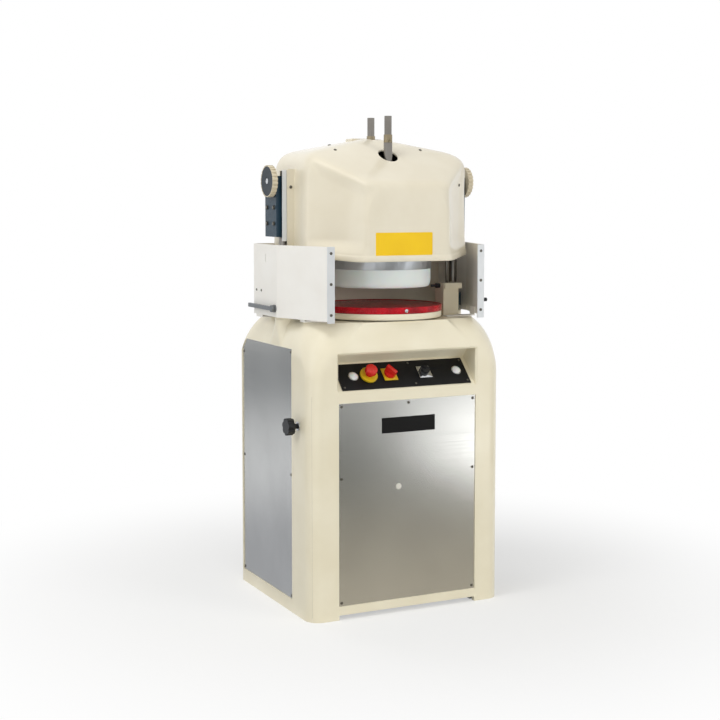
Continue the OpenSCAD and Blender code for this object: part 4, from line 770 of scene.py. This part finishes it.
# %% Find the discs
def islands(name):
    """Middle, axis away from the machine, radius and height, in mm, of each separate solid of a CAD node."""
    mesh = bmesh.new()
    mesh.from_mesh(nodes[name].data)
    bmesh.ops.remove_doubles(mesh, verts=mesh.verts, dist=WELD_GAP * MM)
    mesh.verts.ensure_lookup_table()
    seen, found = [False] * len(mesh.verts), []
    for first in mesh.verts:
        if seen[first.index]:
            continue
        seen[first.index], stack, group = True, [first], []
        while stack:
            vert = stack.pop()
            group.append(vert.co / MM)
            for edge in vert.link_edges:
                other = edge.other_vert(vert)
                if not seen[other.index]:
                    seen[other.index] = True
                    stack.append(other)
        cloud = np.array(group)
        middle = (cloud.min(0) + cloud.max(0)) / 2
        axis = Vector(np.linalg.svd(cloud - cloud.mean(0))[2][2])
        if axis.dot(Vector((middle[0], middle[1], 0))) < 0:
            axis.negate()
        along = (cloud - middle) @ np.array(axis)
        flat = cloud - middle - np.outer(along, axis)
        found.append((Vector(middle), axis, float(np.linalg.norm(flat, axis=1).max()), float(np.ptp(along))))
    mesh.free()
    return found


panel_discs, bolt_discs = islands("panel_screws"), islands("head_bolts")
print(len(panel_discs), "screw discs and", len(bolt_discs), "bolt discs")

# %% Draw the screw heads
# Shares of the radius where the cross starts to rise to its edge and ends, and shares of the height
CROSS_SIDE, CROSS_END, RIM_SHARE, DOME_SHARE = (0.1, 0.17), (0.5, 0.6), 0.45, 0.55


def screw_head(place, radius, height, rings=9, steps=40):
    """Points and faces of a pan head with a cross recess, from its seat upward."""
    rim = [(math.cos(2 * math.pi * k / steps), math.sin(2 * math.pi * k / steps)) for k in range(steps)]
    points = [place @ Vector((radius * c, radius * s, 0)) for c, s in rim]
    for ring in range(rings):
        share = 1 - ring / rings
        for c, s in rim:
            near, far = sorted((abs(share * c), abs(share * s)))
            cross = (1 - smooth(near, *CROSS_SIDE)) * (1 - smooth(far, *CROSS_END))
            top = height * (RIM_SHARE + DOME_SHARE * math.sqrt(1 - share ** 4)) - DOME_SHARE * height * cross
            points.append(place @ Vector((radius * share * c, radius * share * s, top)))
    points.append(place @ Vector((0, 0, height * RIM_SHARE)))
    return points, row_faces(rings + 1, steps) + tip_faces(rings * steps, steps)


def joined(shapes):
    """Several sets of points and faces as one."""
    points, faces = [], []
    for more, loops in shapes:
        faces += [[len(points) + k for k in loop] for loop in loops]
        points += more
    return points, faces


GUARD_X, GUARD_Z, GUARD_YS = -342, 991, (76, 116)
heads = []
for at, axis, radius, tall in panel_discs:
    heads.append(screw_head(facing(axis, at - axis * tall / 2), radius, tall))
heads += [screw_head(facing((-1, 0, 0), (GUARD_X, y, GUARD_Z)), 4.0, 2.0) for y in GUARD_YS]
screws = make("panel_screw_heads", *joined(heads), "steel_screws", "base", 50)
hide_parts("panel_screws")
print(len(heads), "screw heads")

# %% Hexagon bolts of the blocks and screws of the hood
FLANGE_LIP = 1.1
hexes = []
for at, axis, radius, tall in bolt_discs:
    seat = facing(axis, at - axis * tall / 2)
    disc = [(radius, 0), (radius, 0.8), (radius * 0.98, FLANGE_LIP), (0, FLANGE_LIP)]
    nut = [(radius * 0.86, FLANGE_LIP), (radius * 0.86, tall - 0.6), (radius * 0.76, tall), (0, tall)]
    hexes += [turned(disc, seat, 40), turned(nut, seat, 6)]
bolts = make("head_bolt_hexes", *joined(hexes), "steel_screws", "head", 30)
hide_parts("head_bolts")
# Rough places over the skin, each of which drops to the nearest point of it, and one on the left flange
HOOD_SCREWS = [(-170, -116, 1440), (133, -111, 1444), (243, -184, 1325), (-130, 20, 1459)]
spots = [hood.closest_point_on_mesh(Vector(at) * MM)[1:3] for at in HOOD_SCREWS]
spots.append((Vector((-296, -FLANGE_FACE, 1318)) * MM, Vector((0, -1, 0))))
caps = [screw_head(facing(normal, spot / MM - normal * 0.3), 5.0, 2.8) for spot, normal in spots]
make("hood_screw_heads", *joined(caps), "steel_screws", "head", 50)
print(len(bolt_discs), "bolts,", len(caps), "hood screws")

# %% [markdown]
# ## Thickness wheels
#
# Each wheel is a beige moulded rim with finger notches, a slate face plate let into it and a bright nut.
# It turns a short shaft with a cam inside the hood. The rim is cut from a notched outline and its face is
# hollowed with a cutter, the rest is turned. Heights are counted from the wheel's outer face.

# %% Notched rims, faces, nuts and shafts
wheel_low, wheel_high = box_mm("right_wheel")
WHEEL_R = (wheel_high[1] - wheel_low[1]) / 2
WHEEL_AT = (0, (wheel_low[1] + wheel_high[1]) / 2, (wheel_low[2] + wheel_high[2]) / 2)
SHAFT_END, RIM_BACK, HOLLOW = wheel_low[0] - wheel_high[0], -17.0, -2.0
NOTCHES, CAM_OFF = 24, 5
# Angle and depth of the points of one notch
NOTCH = ((-0.13, 0), (-0.085, 0), (-0.04, 0.6), (-0.036, 2.8), (0.036, 2.8), (0.04, 0.6), (0.085, 0))
FACE = [(46, -2.4), (46, -0.8), (45.2, -0.2), (14, -0.6), (13, -1.4), (0, -1.4)]
NUT = [(9, -2), (9, -0.7), (8, 0), (4, 0), (3.4, -0.6), (0, -0.6)]
CAM = [(0, 0), (16, 0), (17, 1), (17, 13), (16, 14), (0, 14)]
points = [(2 * math.pi * k / NOTCHES + turn, WHEEL_R - deep) for k in range(NOTCHES) for turn, deep in NOTCH]
rim_outline = [(radius * math.cos(turn), radius * math.sin(turn)) for turn, radius in points]
for side, word in zip(SIDES, ("left", "right")):
    place = facing((side, 0, 0), WHEEL_AT) @ Matrix.Translation((0, 0, wheel_high[0]))
    rim = make(word + "_wheel_rim", *cut_from(rim_outline, RIM_BACK, 0, place), "wheel_rim", word + "_wheel")
    carve(rim, [rod(46.2, HOLLOW, 4, place, 72)], 0.7)
    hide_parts(word + "_wheel")
    make(word + "_wheel_face", *turned(FACE, place), "wheel_grey", word + "_wheel")
    make(word + "_wheel_nut", *turned(NUT, place, 40), "bright_trim", word + "_wheel")
    shaft = rod(8, SHAFT_END, RIM_BACK + 0.5, place, 40)
    cam = turned(CAM, place @ Matrix.Translation((CAM_OFF, 0, SHAFT_END)), 56)
    make(word + "_wheel_shaft", *joined([shaft, cam]), "bearing_steel", word + "_wheel")
print("two wheels of radius", WHEEL_R)

# %% [markdown]
# ## Moulding plate and pressing ring
#
# The plate is a thick red board with rounded edges and a shallow dish, the ring a thick-walled white
# turning with a generous radius at its lower edge. Both are lathe work, so both are turned from a
# profile. A small stud on the plate's rim shows which way round it lies.


# %% Turned plate, stud and ring
def eased(profile, radius, steps=4):
    """Round the inner corners of an open profile."""
    line = [Vector(profile[0])]
    for a, b, c in zip(profile, profile[1:], profile[2:]):
        a, b, c = Vector(a), Vector(b), Vector(c)
        reach = min(radius, (a - b).length / 2, (c - b).length / 2)
        p = b + (a - b).normalized() * reach
        q = b + (c - b).normalized() * reach
        line += [(p.lerp(b, t)).lerp(b.lerp(q, t), t) for t in (k / steps for k in range(steps + 1))]
    return line + [Vector(profile[-1])]


plate_low, plate_high = box_mm("moulding_plate")
ring_low, ring_high = box_mm("pressing_ring")
TABLE = Matrix.Translation((0, (ring_low[1] + ring_high[1]) / 2, 0))
PLATE_R, PLATE_FOOT, PLATE_TOP = plate_high[0], plate_low[2], plate_high[2]
RIM_W, RIM_SLOPE, DISH = 12, 1.5, 2
board = [(0, PLATE_FOOT), (PLATE_R, PLATE_FOOT), (PLATE_R, PLATE_TOP), (PLATE_R - RIM_W, PLATE_TOP),
         (PLATE_R - RIM_W - RIM_SLOPE, PLATE_TOP - DISH), (0, PLATE_TOP - DISH)]
red = make("moulding_board", *turned(eased(board, 3.0), TABLE, 160), "red_plate", "plate")
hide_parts("moulding_plate")
STUD_AT = (-7, -279.6, 938)
stud = eased([(6, 0), (6, 1.6), (4, 3.2), (0, 3.2)], 1.2)
make("plate_stud", *turned(stud, facing((0, -1, 0), STUD_AT), 32), "bright_trim", "plate")
RING_R, RING_FOOT, RING_TOP, RING_BORE = ring_high[0], ring_low[2], ring_high[2], 154
ROUND_W, ROUND_H = 9.4, 30
quarter = [math.radians(7.5 * k) for k in range(13)]
ring_shape = [(RING_BORE, RING_TOP), (RING_R - 1, RING_TOP), (RING_R, RING_TOP - 1)]
ring_shape += [(RING_R - ROUND_W * (1 - math.cos(a)), RING_FOOT + ROUND_H * (1 - math.sin(a)))
               for a in quarter]
ring_shape += [(RING_BORE, RING_FOOT), (RING_BORE, RING_TOP)]
ring = make("pressing_ring_turned", *turned(ring_shape, TABLE, 160), "ring_plastic", "head")
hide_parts("pressing_ring")
print("plate of radius", PLATE_R, "and ring of radius", RING_R)

# %% [markdown]
# ## Small bright and pale pieces
#
# A pale plug closes a hole in the front panel, a cream cuff seals the foot of each column bush, and a
# bright washer sits behind the side knob. They are small, but a bare hole or a knob that grows straight
# out of the enamel would look unfinished.

# %% Plug, cuffs and washer
PLUG_AT, WASHER_SINK = (-34, -281.8, 396), 0.1
plug = eased([(9.5, 0), (9.5, 1.6), (7.5, 2.8), (0, 2.8)], 1.4)
make("panel_plug", *turned(plug, facing((0, -1, 0), PLUG_AT), 48), "slide_plastic", "base")
cuff = eased([(23.1, 0), (BOSS_R, 0), (BOSS_R, 9), (23.1, 10), (23.1, 0)], 2.0)
cuffs = [turned(cuff, Matrix.Translation((x, COLUMN_Y, CAB_H)), 56) for x in (-COLUMN_X, COLUMN_X)]
make("bush_cuffs", *joined(cuffs), "cream_enamel", "base")
washer = eased([(8.4, 0), (14, 0), (14, 2.2), (12.5, 3.0), (8.4, 3.0), (8.4, 0)], 0.8)
washer_at = facing((-1, 0, 0), KNOB) @ Matrix.Translation((0, 0, -WASHER_SINK))
make("knob_washer", *turned(washer, washer_at, 48), "bright_trim", "base")
print("plug, cuffs and washer")

# %% [markdown]
# ## Studio
#
# The photograph is cut out on white, so the floor is nearly white and keeps only a soft shadow. Far from
# the machine the floor fades into the white of the world, which camera, mirror and glass rays all see.


# %% Floor and world
def shader_tree(material):
    """Empty node tree of a new material or world."""
    material.use_nodes = True
    material.node_tree.nodes.clear()
    return material.node_tree


def seen_directly(tree):
    """Value that is 1 for camera, mirror and glass rays and 0 for light that only brightens a surface."""
    path = add(tree, "LightPath").outputs
    seen = add(tree, "Math", {0: path["Is Camera Ray"], 1: path["Is Glossy Ray"]}, operation="MAXIMUM")
    both = add(tree, "Math", {0: seen.outputs[0], 1: path["Is Transmission Ray"]}, operation="MAXIMUM")
    return both.outputs[0]


def staged_sheet(name, corners, material):
    """A flat sheet of the studio, which is no piece of the machine."""
    mesh = bpy.data.meshes.new(name)
    mesh.from_pydata(corners, [], [[0, 1, 2, 3]])
    mesh.materials.append(material)
    sheet = bpy.data.objects.new(name, mesh)
    scene.collection.objects.link(sheet)
    return sheet


def level_corners(x, y, z):
    """Corners of a level sheet between two x and two y, in metres."""
    return [(x[0], y[0], z), (x[1], y[0], z), (x[1], y[1], z), (x[0], y[1], z)]


WHITE = (1, 1, 1, 1)
FADE_FROM, FADE_TO, FADE_LEAST, SOFT_LIGHT = 0.45, 1.7, 0.45, 0.32
paper = bpy.data.materials.new("studio_floor_paper")
tree = shader_tree(paper)
where = add(tree, "TexCoord").outputs["Object"]
far = add(tree, "VectorMath", {0: where}, operation="LENGTH").outputs["Value"]
fade = add(tree, "MapRange", {"Value": far, "From Min": FADE_FROM, "From Max": FADE_TO,
                              "To Min": FADE_LEAST}, interpolation_type="SMOOTHSTEP")
fade = add(tree, "Math", {0: fade.outputs["Result"], 1: seen_directly(tree)}, operation="MULTIPLY")
matt = add(tree, "BsdfDiffuse", {"Color": linear("#f6f6f4")})
white = add(tree, "Emission", {"Color": WHITE, "Strength": 1.0})
both = add(tree, "MixShader", {0: fade.outputs[0], 1: matt.outputs["BSDF"], 2: white.outputs["Emission"]})
add(tree, "OutputMaterial", {"Surface": both.outputs["Shader"]})
staged_sheet("floor", level_corners((-30, 30), (-30, 30), 0), paper)

world = bpy.data.worlds.new("studio")
scene.world = world
tree = shader_tree(world)
strength = add(tree, "MapRange", {"Value": seen_directly(tree), "To Min": SOFT_LIGHT, "To Max": 1.0})
sky = add(tree, "Background", {"Color": WHITE, "Strength": strength.outputs["Result"]})
add(tree, "OutputWorld", {"Surface": sky.outputs["Background"]})
print("floor and world")

# %% [markdown]
# ## Cards
#
# Brushed steel has no look of its own: it shows the room. The photographer's room was dim, with one large
# bright screen to the right of the machine. Two grey cards lie on the floor for the steel, and a tall
# white one stands on the left for the highlights on the enamel's edges. Only rays that leave a glossy
# surface see the cards: neither the camera nor the soft light does.


# %% Cards that only reflections show
def card(name, corners, along, tones, patch=None, power=1.0):
    """A card seen in reflections only: tones along y between two places, and perhaps a bright patch."""
    material = bpy.data.materials.new(name)
    tree = shader_tree(material)
    where = add(tree, "TexCoord").outputs["Object"]
    y = add(tree, "SeparateXYZ", {"Vector": where}).outputs["Y"]
    ramp = add(tree, "MapRange", {"Value": y, "From Min": along[0], "From Max": along[1]},
               interpolation_type="SMOOTHSTEP")
    tone = add(tree, "Mix", {"Factor": ramp.outputs["Result"], 6: linear(tones[0]), 7: linear(tones[1])},
               data_type="RGBA")
    shine = add(tree, "Emission", {"Color": tone.outputs[2], "Strength": power}).outputs["Emission"]
    if patch:
        middle, size, turn, strength = patch
        spot = add(tree, "Mapping", {"Vector": where, "Location": (*middle, 0), "Rotation": (0, 0, turn),
                                     "Scale": (*size, 1)}, vector_type="TEXTURE").outputs["Vector"]
        far = add(tree, "VectorMath", {0: spot}, operation="LENGTH").outputs["Value"]
        lit = add(tree, "MapRange", {"Value": far, "From Min": 0.3, "From Max": 1.0, "To Min": strength,
                                     "To Max": 0.0}, interpolation_type="SMOOTHSTEP")
        glow = add(tree, "Emission", {"Color": WHITE, "Strength": lit.outputs["Result"]})
        shine = add(tree, "AddShader", {0: shine, 1: glow.outputs["Emission"]}).outputs["Shader"]
    add(tree, "OutputMaterial", {"Surface": shine})
    sheet = staged_sheet(name, corners, material)
    sheet.visible_camera = False
    sheet.visible_diffuse = False
    sheet.visible_shadow = False
    sheet.visible_transmission = False


OVER_FLOOR = 0.004
# A patch is an ellipse: its middle, its half sizes, how far it is turned, and its strength
SCREEN = ((2.1, -2.85), (0.85, 1.5), math.radians(30), 4.4)
GLOW = ((-1.5, 2.7), (1.5, 2.2), math.radians(25), 0.4)
card("front_card", level_corners((-1.2, 6.0), (-6.5, -0.32), OVER_FLOOR), (-2.6, -0.3),
     ("#565955", "#c3bba9"), SCREEN)
card("side_card", level_corners((-7.0, -0.36), (-0.3, 9.0), OVER_FLOOR), (0.5, 5.0),
     ("#b9bbc0", "#84888c"), GLOW)
LEFT_X, LEFT_Y, LEFT_Z = -3.0, (-1.0, -0.45), (0.2, 2.1)
left_corners = [(LEFT_X, LEFT_Y[0], LEFT_Z[0]), (LEFT_X, LEFT_Y[1], LEFT_Z[0]),
                (LEFT_X, LEFT_Y[1], LEFT_Z[1]), (LEFT_X, LEFT_Y[0], LEFT_Z[1])]
card("left_card", left_corners, LEFT_Y, ("#ffffff", "#ffffff"), power=2.5)
print("three cards")

# %% [markdown]
# ## Lamps
#
# The lamps are large soft discs, as in a product photographer's studio: a key from the right front,
# weaker ones in front, on the left and above, and one behind for the views of the rear. They light every
# surface and show in no mirror, because the cards alone make the reflections.

# %% Lamps and view
# Place, aim, size in metres and power in watts
LAMPS = {
    "key": ((2.3, -4.0, 1.9), (0.0, -0.1, 0.9), 2.2, 62),
    "front": ((-0.7, -4.2, 1.2), (0.0, -0.1, 0.9), 1.4, 16),
    "fill": ((-3.0, -0.9, 2.6), (0.0, 0.0, 0.9), 2.0, 30),
    "top": ((-1.0, -0.6, 3.5), (-0.1, 0.0, 0.9), 1.6, 28),
    "rear": ((-1.2, 3.4, 2.4), (0.0, 0.0, 0.9), 2.0, 26),
}
for name, (at, aim, size, power) in LAMPS.items():
    lamp = bpy.data.lights.new(name, "AREA")
    lamp.shape = "DISK"
    lamp.size = size
    lamp.energy = power
    light = bpy.data.objects.new(name, lamp)
    light.location = at
    light.rotation_euler = (Vector(aim) - Vector(at)).to_track_quat("-Z", "Y").to_euler()
    light.visible_glossy = False
    scene.collection.objects.link(light)
scene.view_settings.view_transform = "Standard"
print(len(LAMPS), "lamps")
